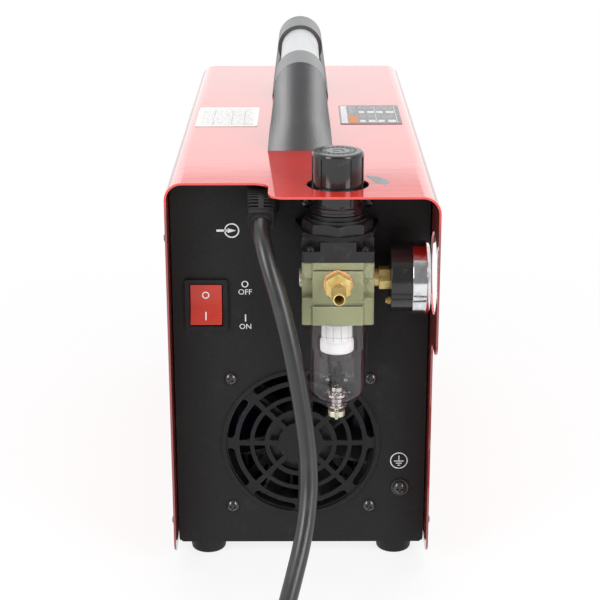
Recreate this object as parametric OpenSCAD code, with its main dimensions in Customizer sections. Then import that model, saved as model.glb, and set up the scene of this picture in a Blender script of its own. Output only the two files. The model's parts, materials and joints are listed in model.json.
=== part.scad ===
// Plasma cutter power unit: a sheet-metal inverter case with a rear
// filter-regulator, a side-reading gauge, a fan, a rocker switch and a lead.
// X is to the right seen from behind, +Y runs from the rear panel to the
// front panel, and Z = 0 is the surface that the feet stand on.

/* [Case] */
// Outer width of the cover
case_w = 152; // [146:1:176]
// Height of the cover's top above the underside of the tray
case_h = 230; // [222:1:256]
// Distance from the rear panel's face to the front edge of the cover
case_l = 346; // [340:1:400]
// Thickness of the cover's sheet
cover_t = 1.2; // [0.8:0.1:2]
// Outer radius of the cover's two long bends
cover_r = 10; // [7:0.5:13]
// Gap between the cover and the panels inside it
cover_gap = 0.6; // [0.4:0.1:1]
// How far the cover overhangs the rear and the front panel
overhang = 18; // [12:1:22]
// How far the hood reaches out over the regulator
hood_reach = 49; // [44:1:60]
// Height of the hood's lower edge above the underside of the tray
hood_z = 137; // [120:1:148]
// Place across the case where the hood's edge steps back
hood_x = -17.5; // [-20:0.5:-14]
// Radius of the cover's rounded corners
corner_r = 9; // [4:1:13]
// Thickness of the panels and the tray
panel_t = 1.5; // [1:0.1:2.5]
// Depth of the panels' folded flanges
flange_d = 15; // [13:1:20]
// Height of the tray's folded sides
tray_h = 18; // [14:1:26]
// Length of one side louvre
louvre_l = 34; // [20:1:44]
// Width of one side louvre
louvre_w = 2.6; // [1.6:0.1:4]

/* [Feet] */
// Radius of a rubber foot at its top
foot_r = 11.5; // [9:0.5:14]
// Height of a rubber foot
foot_h = 9; // [6:0.5:16]
// Distance of a foot's centre from the side of the case
foot_in = 19; // [17:1:26]
// Distance of a foot's centre from the panel next to it
foot_y = 12.5; // [12.5:0.5:30]

/* [Cover screws] */
// Radius of a cover screw's head
side_head_r = 3.5; // [3:0.1:4.5]
// Height of a cover screw's head
side_head_h = 3.1; // [2:0.1:3.4]
// Distance of a cover screw from the panel's face
side_screw_y = 8; // [7:0.5:10]
// Height of the upper cover screws
side_screw_top = 191; // [150:1:200]
// Height of the lower cover screws
side_screw_low = 11; // [9:1:12]

/* [Fan] */
// Side of the fan's square frame
fan_size = 92; // [90:1:95]
// Depth of the fan's frame
fan_depth = 25; // [20:1:38]
// Distance between the fan's screw holes
fan_pitch = 82.5; // [80:0.5:83]
// Height of the fan's axis
fan_z = 65.4; // [62:0.1:80]
// Radius of the grille's solid hub
grille_hub_r = 13.3; // [10:0.1:16]
// Radius of the grille's opening
grille_r = 44.8; // [43:0.1:45.5]
// Width of the raised rim round the grille
grille_rim = 2.2; // [1:0.1:3]
// Width of the grille's spokes
spoke_w = 3; // [2:0.1:5]
// Number of fan blades
fan_blades = 7; // [5:1:9]
// Radius of the fan's hub
fan_hub_r = 19; // [17:0.5:22]

/* [Switch] */
// Place of the switch across the rear panel
switch_x = -54.5; // [-56:0.5:-40]
// Height of the switch's centre
switch_z = 153; // [135:1:170]
// Width of the switch's bezel
bezel_w = 25; // [24:0.5:30]
// Height of the switch's bezel
bezel_h = 31; // [30:0.5:36]
// Width of the rocker
rocker_w = 19; // [16:0.5:19.5]
// Height of the rocker
rocker_h = 23.6; // [22:0.2:24.5]
// Angle between the rocker's two halves and the panel
rocker_tilt = 9; // [6:1:11]

/* [Mains lead] */
// Diameter of the mains lead
cord_d = 10; // [7:0.5:11]
// Place of the lead's boot across the rear panel
boot_x = -21.5; // [-24:0.5:-20.5]
// Distance of the boot's hole from the top of the case
boot_drop = 12.5; // [12:0.5:16]
// Width of the boot's squarish section
boot_w = 14.4; // [13:0.1:16]
// Angle through which the boot droops
boot_droop = 35; // [20:1:45]
// Diameter of the coil at the middle of its turns
coil_mid_d = 110; // [100:1:120]
// Number of turns in each of the coil's two layers
layer_turns = 2; // [1:1:3]

/* [Regulator] */
// Place of the regulator's axis across the rear panel
reg_x = 20.7; // [19:0.1:21.5]
// Distance of the regulator's axis from the rear panel's face
reg_out = 21; // [21:0.5:24]
// Side of the regulator's square body
reg_w = 40; // [36:1:41]
// Distance from the case's top to the axis of the regulator's ports
port_drop = 51.5; // [48:0.5:56]
// Height of the body above the ports' axis
body_up = 12.2; // [11:0.2:14]
// Depth of the body below the ports' axis
body_down = 24.2; // [20:0.2:28]
// Height of the bonnet above the body
bonnet_h = 11.6; // [10:0.1:15]
// Height of the locking nut
ring_h = 7.3; // [6:0.1:9]
// Radius of the locking nut over its eight corners
ring_r = 19.8; // [18.5:0.1:20.5]
// Radius of the knob at its skirt
knob_r = 15.2; // [12:0.1:15.5]
// Height of the knob
knob_h = 33.7; // [26:0.1:36]
// Travel by which the knob lifts to unlock
knob_lift = 3; // [2:0.5:4]
// Radius of the hole in the cover round the knob
knob_hole_r = 17.3; // [16.8:0.1:18]
// Radius of the bowl
bowl_r = 17; // [15:0.1:18]
// Length of the bowl below the body
bowl_l = 52; // [46:1:60]
// Wall of the bowl
bowl_t = 2.4; // [1.8:0.1:3]
// Reach of the hose barb beyond the regulator's body
barb_l = 28; // [22:1:36]
// Bore of the hose barb
barb_bore = 5.4; // [4:0.1:5.6]

/* [Gauge] */
// Distance of the gauge's axis below the ports' axis
gauge_drop = 2.6; // [0:0.1:3.4]
// Radius of the gauge's bezel
gauge_r = 21; // [18:0.1:22]
// Depth of the gauge's case
gauge_case_d = 11.8; // [10:0.1:13]
// Depth of the gauge's bezel
gauge_bezel_d = 10; // [8:0.1:10.5]
// Radius of the window in the cover round the gauge
window_r = 23.5; // [22.8:0.1:26]

/* [Handle] */
// Distance from the rear panel's face to the foot of the rear arm
handle_y = 60; // [40:1:70]
// Length of the handle from foot to foot
handle_l = 216; // [200:1:275]
// Width of the arms at the cover
arm_w = 39; // [34:1:44]
// Length of an arm's foot on the cover
arm_foot = 52; // [40:1:58]
// Run of an arm's slope, from its foot to its collar
arm_slope = 15; // [12:1:46]
// Radius of the arms' collars
collar_r = 15.05; // [14.5:0.05:18]
// Length of a collar
collar_l = 42.5; // [30:0.5:46]
// Radius of the grip tube
grip_r = 12.5; // [10:0.1:13.5]
// Height of the grip's axis above the cover
grip_z = 35.75; // [28:0.05:40]

/* [Front] */
// Reach of the torch socket beyond the front panel
torch_reach = 24; // [20:1:30]
// Radius of the torch socket's flange
torch_r = 19; // [16:0.5:22]
// Height of the two sockets
socket_z = 52; // [42:1:62]
// Distance of the two sockets and the knob from the side of the case
socket_in = 38; // [34:1:42]
// Radius of the current knob
dial_r = 15; // [11:0.5:18]
// Height of the current knob and the display
dial_z = 172; // [150:1:185]

/* [Inside] */
// Length of the two heatsinks
sink_l = 150; // [110:1:160]
// Height of the two heatsinks
sink_h = 44; // [34:1:50]
// Radius of a capacitor
cap_r = 15; // [11:0.5:16]
// Height of a capacitor
cap_h = 45; // [30:1:55]
// Inner diameter of the air hose
hose_bore = 5; // [4:0.5:6]
// Outer diameter of the air hose
hose_d = 8; // [7:0.5:9]

/* [Hidden] */
$fn = 64;
eps = 0.01;
// Clearance of a screw's shank in its hole
screw_gap = 0.2;
// Running clearance of a shaft in its bearing
run_gap = 0.05;
// Gap kept between pieces on different bodies
free_gap = 0.3;
// Radius of the M5 screws of the feet and the handle
m5_r = 2.5;
// Radius of the sheet-metal screws
tap_r = 1.9;
// Radius of a fan screw's head
fan_head_r = 3.9;

// Levels and planes of the case, from the rear panel and the tray's underside
front_y = case_l - overhang;
inner_w = case_w - 2 * (cover_t + cover_gap);
inner_h = case_h - cover_t - cover_gap;
inner_r = cover_r - cover_t - cover_gap;
panel_x = inner_w / 2;
foot_x = case_w / 2 - foot_in;
socket_x = case_w / 2 - socket_in;
feet_y = [foot_y, front_y - foot_y];
port_z = case_h - port_drop;
gauge_z = port_z - gauge_drop;
boot_z = case_h - boot_drop;
body_top = port_z + body_up;
bonnet_top = body_top + bonnet_h;
bracket_t = 2.8;
ring_low = bonnet_top + bracket_t;
ring_top = ring_low + ring_h;
knob_clear = 3;
knob_low = ring_top + knob_clear;
barb_tip = reg_out + reg_w / 2 + barb_l;
dial_reach = 20;

// The origin is under the middle of the whole object, on the floor
front_reach = max(case_l, front_y + torch_reach, front_y + dial_reach);
back_reach = max(hood_reach, barb_tip);
rear_y = (back_reach - front_reach) / 2;

// Puts its children x across, y behind the rear panel's face and z above
// the tray's underside
module at(x, y, z) {
    translate([x, rear_y + y, foot_h + z]) children();
}

// A round bar along Y from y0 to y1
module y_rod(r, y0, y1) {
    translate([0, y0, 0]) rotate([-90, 0, 0]) cylinder(r = r, h = y1 - y0);
}

// A round bar along X from x0 to x1
module x_rod(r, x0, x1) {
    translate([x0, 0, 0]) rotate([0, 90, 0]) cylinder(r = r, h = x1 - x0);
}

// A round bar along Z from z0 to z1
module z_rod(r, z0, z1) {
    translate([0, 0, z0]) cylinder(r = r, h = z1 - z0);
}

// A square prism on the Z axis with rounded upright edges
module rounded_prism(w, d, r, z0, z1) {
    translate([0, 0, z0]) linear_extrude(z1 - z0) {
        square([w - 2 * r, d], center = true);
        square([w, d - 2 * r], center = true);
        for (sx = [-1, 1], sy = [-1, 1])
            translate([sx * (w / 2 - r), sy * (d / 2 - r)]) circle(r);
    }
}

// A domed screw with a cross recess: its head stands on Z = 0 towards -Z
module pan_screw(head_r, head_h, shank_r, length) {
    dome_r = 1.25 * head_r;
    cut = 0.3 * head_r;
    difference() {
        intersection() {
            z_rod(head_r, -head_h, 0);
            translate([0, 0, dome_r - head_h]) sphere(r = dome_r);
        }
        for (turn = [0, 90])
            rotate(turn)
                translate([-1.8 * cut, -cut / 2, -head_h - eps])
                    cube([3.6 * cut, cut, head_h / 2]);
    }
    z_rod(shank_r, -head_h / 4, length);
}

// A hexagonal nut's outline, measured across its flats
module hex_outline(flats) {
    circle(r = flats / sqrt(3), $fn = 6);
}

// The arch of the case seen along Y: square below, rounded above
module arch(w, h, r) {
    translate([-w / 2, 0]) square([w, h - r]);
    translate([r - w / 2, 0]) square([w - 2 * r, h]);
    for (s = [-1, 1])
        translate([s * (w / 2 - r), h - r]) circle(r);
}

// Extrudes its flat children along Y from y0 to y1, flat Y becoming height
module along_y(y0, y1) {
    translate([0, y1, 0]) rotate([90, 0, 0]) linear_extrude(y1 - y0) children();
}

// Extrudes its children, drawn in Y and Z, along X from x0 to x1
module along_x(x0, x1) {
    translate([x0, 0, 0]) rotate([90, 0, 90]) linear_extrude(x1 - x0) children();
}

// What a stepped edge loses: all below v and behind -u, with both corners round
module step_cut(far, u, v, v_end) {
    far_side = -far - 1;
    difference() {
        translate([far_side, v_end]) square([-u - far_side, v - v_end]);
        translate([-u - corner_r, v - corner_r]) difference() {
            square(corner_r + 1);
            circle(corner_r);
        }
    }
    translate([-far - eps, v - eps]) difference() {
        square(corner_r);
        translate([corner_r, corner_r]) circle(corner_r);
    }
}

// What a lower corner of the cover's side loses to its rounding
module round_cut(u, turn) {
    translate([u, 0]) mirror([turn, 0]) translate([-eps, -eps]) difference() {
        square(corner_r);
        translate([corner_r, corner_r]) circle(corner_r);
    }
}

// The Y and Z of the eight cover screws, on both sides
side_screw_places = [
    for (y = [side_screw_y, front_y - side_screw_y])
        for (z = [side_screw_top, side_screw_low])
            [y, z]
];
louvre_rows = 9;
louvre_pitch = 8;
louvre_low = 60;
louvre_places = [78, 268];
handle_screw_x = arm_w / 2 - 10;
handle_screw_y = [
    handle_y + arm_foot / 2,
    handle_y + handle_l - arm_foot / 2
];

module cover() {
    color([0.78, 0.08, 0.06]) at(0, 0, 0) difference() {
        along_y(-hood_reach, case_l) arch(case_w, case_h, cover_r);
        along_y(-hood_reach - 1, case_l + 1) translate([0, -1])
            arch(case_w - 2 * cover_t, case_h - cover_t + 1, cover_r - cover_t);
        // the hood's edge steps back to the left of the regulator
        translate([0, 0, -1]) linear_extrude(case_h + 2) mirror([1, -1])
            step_cut(hood_reach, overhang, hood_x, -case_w / 2 - 1);
        // the hood's side ends above the bowl
        along_x(case_w / 2 - cover_t - 1, case_w / 2 + 1)
            step_cut(hood_reach, overhang, hood_z, -1);
        along_x(-case_w / 2 - 1, case_w / 2 + 1) {
            round_cut(-overhang, 0);
            round_cut(case_l, 1);
        }
        translate([reg_x, -reg_out, 0]) z_rod(knob_hole_r, case_h - 2 * cover_r, case_h + 1);
        translate([0, -reg_out, port_z]) x_rod(window_r, case_w / 2 - 2 * cover_r, case_w / 2 + 1);
        for (p = side_screw_places)
            translate([0, p[0], p[1]])
                x_rod(tap_r + screw_gap, -case_w / 2 - 1, case_w / 2 + 1);
        for (x = [-handle_screw_x, handle_screw_x], y = handle_screw_y)
            translate([x, y, 0])
                z_rod(m5_r + screw_gap, case_h - 2 * cover_t, case_h + 1);
        for (y = louvre_places, row = [0 : louvre_rows - 1])
            translate([0, y, louvre_low + row * louvre_pitch])
                along_x(-case_w / 2 - 1, case_w / 2 + 1) {
                    square([louvre_l - louvre_w, louvre_w], center = true);
                    for (s = [-1, 1])
                        translate([s * (louvre_l - louvre_w) / 2, 0]) circle(louvre_w / 2);
                }
    }
}

module tray() {
    side_y0 = flange_d + 1;
    side_y1 = front_y - flange_d - 1;
    color([0.55, 0.56, 0.58]) at(0, 0, 0) difference() {
        union() {
            translate([-panel_x, panel_t, 0])
                cube([inner_w, front_y - 2 * panel_t, panel_t]);
            for (x = [-panel_x, panel_x - panel_t])
                translate([x, side_y0, 0]) cube([panel_t, side_y1 - side_y0, tray_h]);
        }
        for (x = [-foot_x, foot_x], y = feet_y)
            translate([x, y, 0]) z_rod(m5_r + screw_gap, -1, panel_t + 1);
    }
}

// A panel's plate with a folded flange round its sides and top; y0 is the
// plate's outer face and turn is 0 for the rear panel and 1 for the front one
module panel_shell(y0, turn) {
    plate_cut = 3;
    translate([0, y0, 0]) mirror([0, turn, 0]) difference() {
        along_y(0, flange_d) arch(inner_w, inner_h, inner_r);
        along_y(panel_t, flange_d + 1) translate([0, -1])
            arch(inner_w - 2 * panel_t, inner_h - panel_t + 1, inner_r - panel_t);
        translate([-panel_x - 1, panel_t, -1])
            cube([inner_w + 2, flange_d, panel_t + 1]);
        for (s = [-1, 1])
            translate([s * panel_x, -1, 0]) rotate([0, 45, 0])
                translate([-plate_cut / 2, 0, -plate_cut / 2])
                    cube([plate_cut, panel_t + 1.5, plate_cut]);
        for (z = [side_screw_top, side_screw_low])
            translate([0, side_screw_y, z]) x_rod(tap_r + screw_gap, -case_w / 2, case_w / 2);
    }
}

grille_rings = [
    [grille_hub_r, grille_hub_r + 5.4],
    [grille_hub_r + 8.2, grille_hub_r + 14.7],
    [grille_hub_r + 17.1, grille_hub_r + 23.6],
    [grille_hub_r + 26.4, grille_r]
];
spokes = 8;

// Two rings round the same middle
module flat_ring(r_in, r_out) {
    difference() {
        circle(r_out);
        circle(r_in);
    }
}

// The rings of slots in the fan grille; the outermost slots have round ends
module grille_slots() {
    outer = grille_rings[len(grille_rings) - 1];
    end_r = (outer[1] - outer[0]) / 2;
    end_angle = asin((spoke_w + end_r) / (outer[0] + end_r));
    difference() {
        for (k = [0 : len(grille_rings) - 2])
            flat_ring(grille_rings[k][0], grille_rings[k][1]);
        for (k = [0 : spokes - 1])
            rotate(k * 360 / spokes)
                translate([0, -spoke_w / 2]) square([grille_r + 1, spoke_w]);
    }
    difference() {
        flat_ring(outer[0], outer[1]);
        for (k = [0 : spokes - 1])
            rotate(k * 360 / spokes - end_angle) polygon([
                [0, 0], [2 * grille_r, 0],
                [2 * grille_r * cos(2 * end_angle), 2 * grille_r * sin(2 * end_angle)]
            ]);
    }
    for (k = [0 : spokes - 1], s = [-1, 1])
        rotate(k * 360 / spokes + s * end_angle)
            translate([outer[0] + end_r, 0]) circle(end_r - 0.25);
}

fan_places = [for (x = [-1, 1], z = [-1, 1]) [x * fan_pitch / 2, fan_z + z * fan_pitch / 2]];
bracket_screw_x = 17;
bracket_screw_z = bonnet_top + 13;
bracket_places = [for (s = [-1, 1]) [reg_x + s * bracket_screw_x, bracket_screw_z]];
m4_r = 2;
earth_x = 59.5;
earth_z = 36.6;
switch_body_w = rocker_w + 3;
switch_body_h = rocker_h + 3.6;
boot_neck_r = boot_w / 2 - 1;
outlet_r = 5;
outlet_gap = 1;

module rear_panel() {
    color([0.17, 0.17, 0.18]) at(0, 0, 0) {
        difference() {
            panel_shell(0, 0);
            translate([0, 0, fan_z]) along_y(-1, panel_t + 1) grille_slots();
            for (p = fan_places)
                translate([p[0], 0, p[1]]) y_rod(tap_r + screw_gap, -1, panel_t + 1);
            for (p = bracket_places)
                translate([p[0], 0, p[1]]) y_rod(m4_r + screw_gap, -1, panel_t + 1);
            translate([switch_x, 0, switch_z]) along_y(-1, panel_t + 1)
                square([switch_body_w + 0.4, switch_body_h + 0.4], center = true);
            translate([boot_x, 0, boot_z]) y_rod(boot_neck_r + screw_gap, -1, panel_t + 1);
            translate([reg_x, 0, port_z]) y_rod(outlet_r + outlet_gap, -1, panel_t + 1);
            translate([earth_x, 0, earth_z]) y_rod(m4_r + screw_gap, -1, panel_t + 1);
        }
        translate([0, 0, fan_z]) difference() {
            y_rod(grille_r + grille_rim, -1.2, eps);
            y_rod(grille_r, -2, 1);
        }
    }
}

display_w = 52;
display_h = 26;
display_x = display_w / 2 + 26 - case_w / 2;
display_back_w = display_w - 4;
display_back_h = display_h - 4;
display_depth = 14;
knob_x = socket_x;
lamp_pitch = 18;
lamp_x = [display_x - lamp_pitch, display_x, display_x + lamp_pitch];
lamp_drop = 30;
lamp_r = 2.5;
pot_r = 3;
torch_hole_r = 13;
work_hole_r = 13;

module front_panel() {
    cut_y0 = front_y - 2 * panel_t;
    color([0.17, 0.17, 0.18]) at(0, 0, 0) difference() {
        panel_shell(front_y, 1);
        translate([display_x, 0, dial_z]) along_y(cut_y0, front_y + 1)
            square([display_back_w + 2 * screw_gap, display_back_h + 2 * screw_gap], center = true);
        for (x = lamp_x)
            translate([x, 0, dial_z - lamp_drop]) y_rod(lamp_r + screw_gap, cut_y0, front_y + 1);
        translate([knob_x, 0, dial_z]) y_rod(pot_r + 0.8, cut_y0, front_y + 1);
        translate([socket_x, 0, socket_z])
            y_rod(torch_hole_r + screw_gap, cut_y0, front_y + 1);
        translate([-socket_x, 0, socket_z])
            y_rod(work_hole_r + screw_gap, cut_y0, front_y + 1);
    }
}

foot_taper = 1;
foot_round = 1.5;

module feet() {
    color([0.08, 0.08, 0.08]) for (x = [-foot_x, foot_x], y = feet_y)
        at(x, y, -foot_h) rotate_extrude() difference() {
            polygon([
                [0, 0], [foot_r - foot_taper - foot_round, 0],
                for (a = [0 : 15 : 90])
                    [foot_r - foot_taper - foot_round + foot_round * sin(a),
                     foot_round * (1 - cos(a))],
                [foot_r, foot_h], [0, foot_h]
            ]);
            translate([0, -1]) square([m5_r + 2.4, foot_h / 2 + 1]);
            square([m5_r + screw_gap, foot_h + 1]);
        }
}

handle_screw_l = 16;
foot_screw_l = foot_h / 2 + panel_t + 4;

module m5_screws() {
    color([0.3, 0.3, 0.32]) {
        for (x = [-foot_x, foot_x], y = feet_y)
            at(x, y, -foot_h / 2) pan_screw(m5_r + 2, 2.6, m5_r, foot_screw_l);
        for (x = [-handle_screw_x, handle_screw_x], y = handle_screw_y)
            at(x, y, case_h - cover_t) pan_screw(m5_r + 2, 3, m5_r, handle_screw_l);
    }
}

module cover_screws() {
    color([0.12, 0.12, 0.12]) for (s = [-1, 1], p = side_screw_places)
        at(s * case_w / 2, p[0], p[1]) rotate([0, -s * 90, 0])
            pan_screw(side_head_r, side_head_h, tap_r, cover_t + cover_gap + panel_t + 3);
}

label_w = 40;
label_l = 59;
label_t = 0.3;
label_places = [[-47.5, 157], [46, 163.5]];

module top_labels() {
    color([0.9, 0.9, 0.9]) for (p = label_places)
        at(p[0], p[1], case_h) rounded_prism(label_w, label_l, 1, 0, label_t);
}

fan_y = panel_t;
fan_top = fan_z + fan_size / 2;
fan_tunnel_r = fan_size / 2 - 2;
fan_tip_gap = 1;
motor_t = 3;
motor_r = fan_hub_r - 2;
fan_bearing_r = 4;
fan_shaft_r = 1.5;
strut_w = 5;

module fan_frame() {
    strut_y = fan_y + fan_depth - motor_t;
    color([0.1, 0.1, 0.1]) at(0, 0, fan_z) difference() {
        union() {
            difference() {
                translate([0, fan_y + fan_depth, 0]) rotate([90, 0, 0])
                    rounded_prism(fan_size, fan_size, 4, 0, fan_depth);
                y_rod(fan_tunnel_r, fan_y - 1, fan_y + fan_depth + 1);
            }
            intersection() {
                y_rod(fan_tunnel_r + 0.5, strut_y, fan_y + fan_depth);
                for (turn = [45, 135])
                    rotate([0, turn, 0])
                        translate([-strut_w / 2, 0, -fan_size])
                            cube([strut_w, 2 * fan_depth, 2 * fan_size]);
            }
            y_rod(motor_r, strut_y, fan_y + fan_depth);
            y_rod(fan_bearing_r, fan_y + 8, strut_y + eps);
        }
        for (x = [-1, 1], z = [-1, 1])
            translate([x * fan_pitch / 2, 0, z * fan_pitch / 2])
                y_rod(tap_r + screw_gap, 0, fan_y + fan_depth + 1);
        y_rod(fan_shaft_r + run_gap, fan_y + 7, fan_y + fan_depth + 1);
    }
}

blade_angle = 38;
blade_t = 1.6;

module fan_rotor() {
    hub_y = fan_y + 3;
    cup_end = fan_y + fan_depth - motor_t - 1;
    color([0.06, 0.06, 0.06]) at(0, 0, fan_z) {
        difference() {
            y_rod(fan_hub_r, hub_y, cup_end);
            y_rod(fan_hub_r - 2, hub_y + 2, cup_end + 1);
        }
        y_rod(fan_shaft_r, hub_y + 1, cup_end);
        intersection() {
            difference() {
                y_rod(fan_tunnel_r - fan_tip_gap, hub_y + 1, cup_end);
                y_rod(fan_hub_r - 0.5, hub_y, cup_end + 1);
            }
            for (k = [0 : fan_blades - 1])
                rotate([0, k * 360 / fan_blades, 0])
                    translate([0, (hub_y + cup_end) / 2, 0]) rotate([0, 0, blade_angle])
                        translate([-blade_t / 2, -fan_depth, 0])
                            cube([blade_t, 2 * fan_depth, fan_size]);
        }
    }
}

module fan_screws() {
    color([0.1, 0.1, 0.1]) for (p = fan_places)
        at(p[0], 0, p[1]) rotate([-90, 0, 0])
            pan_screw(fan_head_r, 2.4, tap_r, panel_t + fan_depth - 2);
}

bezel_t = 2;
switch_depth = 24;
pivot_r = 1.5;
pivot_y = 3;
rocker_gap = 0.4;
rocker_back = 6;

// The rocker seen from its side, drawn in Y and Z about its pivot
module rocker_outline() {
    half = rocker_h / 2;
    rise = half * tan(rocker_tilt);
    face = -pivot_y - bezel_t - 1;
    polygon([
        [face - rise, -half], [face, 0], [face - rise, half],
        [rocker_back, half * 0.45], [rocker_back, -half * 0.45]
    ]);
}

// The rocker rests with its upper half pressed in
rocker_swing = rocker_tilt;

module rocker() {
    color([0.72, 0.2, 0.16]) at(switch_x, pivot_y, switch_z) rotate([-rocker_swing, 0, 0]) {
        along_x(-rocker_w / 2 + rocker_gap, rocker_w / 2 - rocker_gap) rocker_outline();
        x_rod(pivot_r, -rocker_w / 2 - 1, rocker_w / 2 + 1);
    }
}

module switch_housing() {
    color([0.07, 0.07, 0.07]) at(switch_x, 0, switch_z) difference() {
        union() {
            rotate([90, 0, 0]) rounded_prism(bezel_w, bezel_h, 1.5, 0, bezel_t);
            along_y(-eps, switch_depth)
                square([switch_body_w, switch_body_h], center = true);
        }
        // the well that the rocker swings in
        along_y(-bezel_t - 1, pivot_y + rocker_back + 4)
            square([rocker_w, rocker_h + 2 * rocker_gap + 1], center = true);
        translate([0, pivot_y, 0])
            x_rod(pivot_r + run_gap, -rocker_w / 2 - 1.1, rocker_w / 2 + 1.1);
    }
}

terminal_w = 6.3;
terminal_l = 10;

module switch_terminals() {
    color([0.8, 0.65, 0.3]) for (x = [-5.5, 5.5], z = [-8, 8])
        at(switch_x + x, switch_depth, switch_z + z)
            translate([-0.4, 0, -terminal_w / 2]) cube([0.8, terminal_l, terminal_w]);
}

boot_start = 12;
boot_bend_r = 32;
boot_round = 1.6;
boot_web = 3.3;
slot_t = 1.3;
slot_first = 3.78;
slot_pitch = 3;
slot_rows = 7;
boot_end_y = -boot_start - boot_bend_r * sin(boot_droop);
boot_end_z = boot_z - boot_bend_r * (1 - cos(boot_droop));

// The boot's section: a square with rounded corners
module boot_section() {
    square([boot_w - 2 * boot_round, boot_w], center = true);
    square([boot_w, boot_w - 2 * boot_round], center = true);
    for (x = [-1, 1], y = [-1, 1])
        translate([x, y] * (boot_w / 2 - boot_round)) circle(boot_round);
}

// Sweeps its flat children from the panel out and down the boot's bend
module along_boot() {
    along_y(-boot_start, 0) children();
    translate([0, -boot_start, -boot_bend_r]) rotate([0, 90, 0])
        rotate([0, 0, 180]) rotate_extrude(angle = boot_droop)
            translate([boot_bend_r, 0]) children();
}

// Puts its children on the boot's middle line, s millimetres from the panel,
// with their Z axis pointing out along it
module on_boot(s) {
    turn = max(0, s - boot_start) / boot_bend_r * 180 / PI;
    translate([
        0,
        -min(s, boot_start) - boot_bend_r * sin(turn),
        -boot_bend_r * (1 - cos(turn))
    ])
        rotate([90 + turn, 0, 0]) children();
}

// A moulded boot, slit from its two sides by turns so that it bends
module cord_boot() {
    slit_l = (boot_w - boot_web) / 2 + 1;
    color([0.06, 0.06, 0.06]) at(boot_x, 0, boot_z) difference() {
        union() {
            difference() {
                along_boot() boot_section();
                for (k = [0 : slot_rows - 1], side = [0, 1])
                    on_boot(slot_first + (k + side / 2) * slot_pitch)
                        mirror([side, 0, 0])
                            translate([boot_web / 2, -boot_w / 2 - 1, -slot_t / 2])
                                cube([slit_l, boot_w + 2, slot_t]);
            }
            along_boot() square(cord_d + 0.2, center = true);
            y_rod(boot_neck_r, -eps, panel_t + 3);
            y_rod(boot_w / 2 + 1.6, -2.5, 0);
            y_rod(boot_w / 2 + 1.6, panel_t, panel_t + 3);
        }
        y_rod(cord_d / 2 - 0.5, -boot_start / 2, panel_t + 4);
    }
}

// The mains lead's free stretch: where it runs, x, y and z in the panel's
// coordinates, from the boot's end face down to the floor and to the coil
tie_t = 0.7;
floor_z = cord_d / 2 - foot_h + tie_t + 0.1;
cord_route = [
    [boot_x, boot_end_y, boot_end_z],
    [boot_x, boot_end_y - 8 * cos(boot_droop), boot_end_z - 8 * sin(boot_droop)],
    [-19.7, -43.8, 199.6],
    [-16.2, -50, 188.5],
    [-11.6, -55, 174],
    [-7.3, -59, 157],
    [-3.4, -62.3, 138.5],
    [0, -65, 119.5],
    [2.8, -68, 100.5],
    [4.4, -72.3, 81.5],
    [3.8, -79, 63],
    [0.8, -88.5, 45.5],
    [-3.8, -100.5, 30],
    [-8.3, -113.5, 17.5],
    [-11.5, -126, 8],
    [-13.2, -137.5, 1.8],
    [-13.8, -148, -1.8],
    [-14, -158, floor_z],
    [-14, -168, floor_z]
];
cord_sides = 8;

// The coil lies on the floor: it winds in on its lower layer and out again
// on its upper one, and both its ends run straight for one diameter
coil_steps = 24;
coil_sides = 6;
coil_pitch = cord_d + 0.6;
coil_r0 = coil_mid_d / 2 + layer_turns * coil_pitch / 2;
coil_in = cord_route[len(cord_route) - 1];
coil_x = coil_in[0] + coil_r0;
coil_y = coil_in[1] - cord_d;
coil_path = [
    coil_in,
    for (i = [0 : 2 * layer_turns * coil_steps])
        let (
            t = i / coil_steps,
            r = coil_r0 - coil_pitch * (t < layer_turns ? t : 2 * layer_turns - t),
            climb = min(1, max(0, 2 * (t - layer_turns) + 0.5))
        )
        [coil_x + r * cos(180 + 360 * t), coil_y + r * sin(180 + 360 * t),
         floor_z + coil_pitch * climb],
    [coil_in[0], coil_y - cord_d, floor_z + coil_pitch]
];
coil_gap = min([
    for (i = [0 : len(coil_path) - 1])
        for (j = [i + coil_steps / 2 : 1 : len(coil_path) - 1])
            norm(coil_path[i] - coil_path[j])
]) - cord_d;
echo("least gap of the coil to itself in mm", coil_gap);

// The lead's tail runs from the coil's upper layer to the plug
plug_len = 46;
plug_disc_r = 18.5;
plug_disc_t = 13;
plug_grip_r = 12;
plug_z = plug_disc_r - foot_h;
tail_l = 44;
tail_top = floor_z + coil_pitch;
tail_route = [
    [coil_in[0], coil_y - cord_d, tail_top],
    [coil_in[0], coil_y - cord_d - 10, tail_top],
    [coil_in[0], coil_y - cord_d - 22, tail_top + 0.3 * (plug_z - tail_top)],
    [coil_in[0], coil_y - cord_d - tail_l + 10, plug_z],
    [coil_in[0], coil_y - cord_d - tail_l, plug_z]
];
plug_y = coil_y - cord_d - tail_l;

function unit(v) = v / norm(v);
function heading(path, i) =
    unit(path[min(i + 1, len(path) - 1)] - path[max(i - 1, 0)]);

// A tube of flat sides swept along a path; no stretch may run along `up`
module tube(path, r, sides, up) {
    last = len(path) - 1;
    points = [
        for (i = [0 : last])
            let (u = unit(cross(heading(path, i), up)), v = cross(heading(path, i), u))
            for (k = [0 : sides - 1])
                path[i] + r * (cos(k * 360 / sides) * u + sin(k * 360 / sides) * v)
    ];
    walls = [
        for (i = [0 : last - 1], k = [0 : sides - 1])
            let (a = i * sides + k, b = i * sides + (k + 1) % sides)
            each [[a, a + sides, b], [b, a + sides, b + sides]]
    ];
    ends = [
        for (k = [1 : sides - 2])
            each [[0, k, k + 1], [last * sides, last * sides + k + 1, last * sides + k]]
    ];
    polyhedron(points, concat(walls, ends));
}

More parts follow.
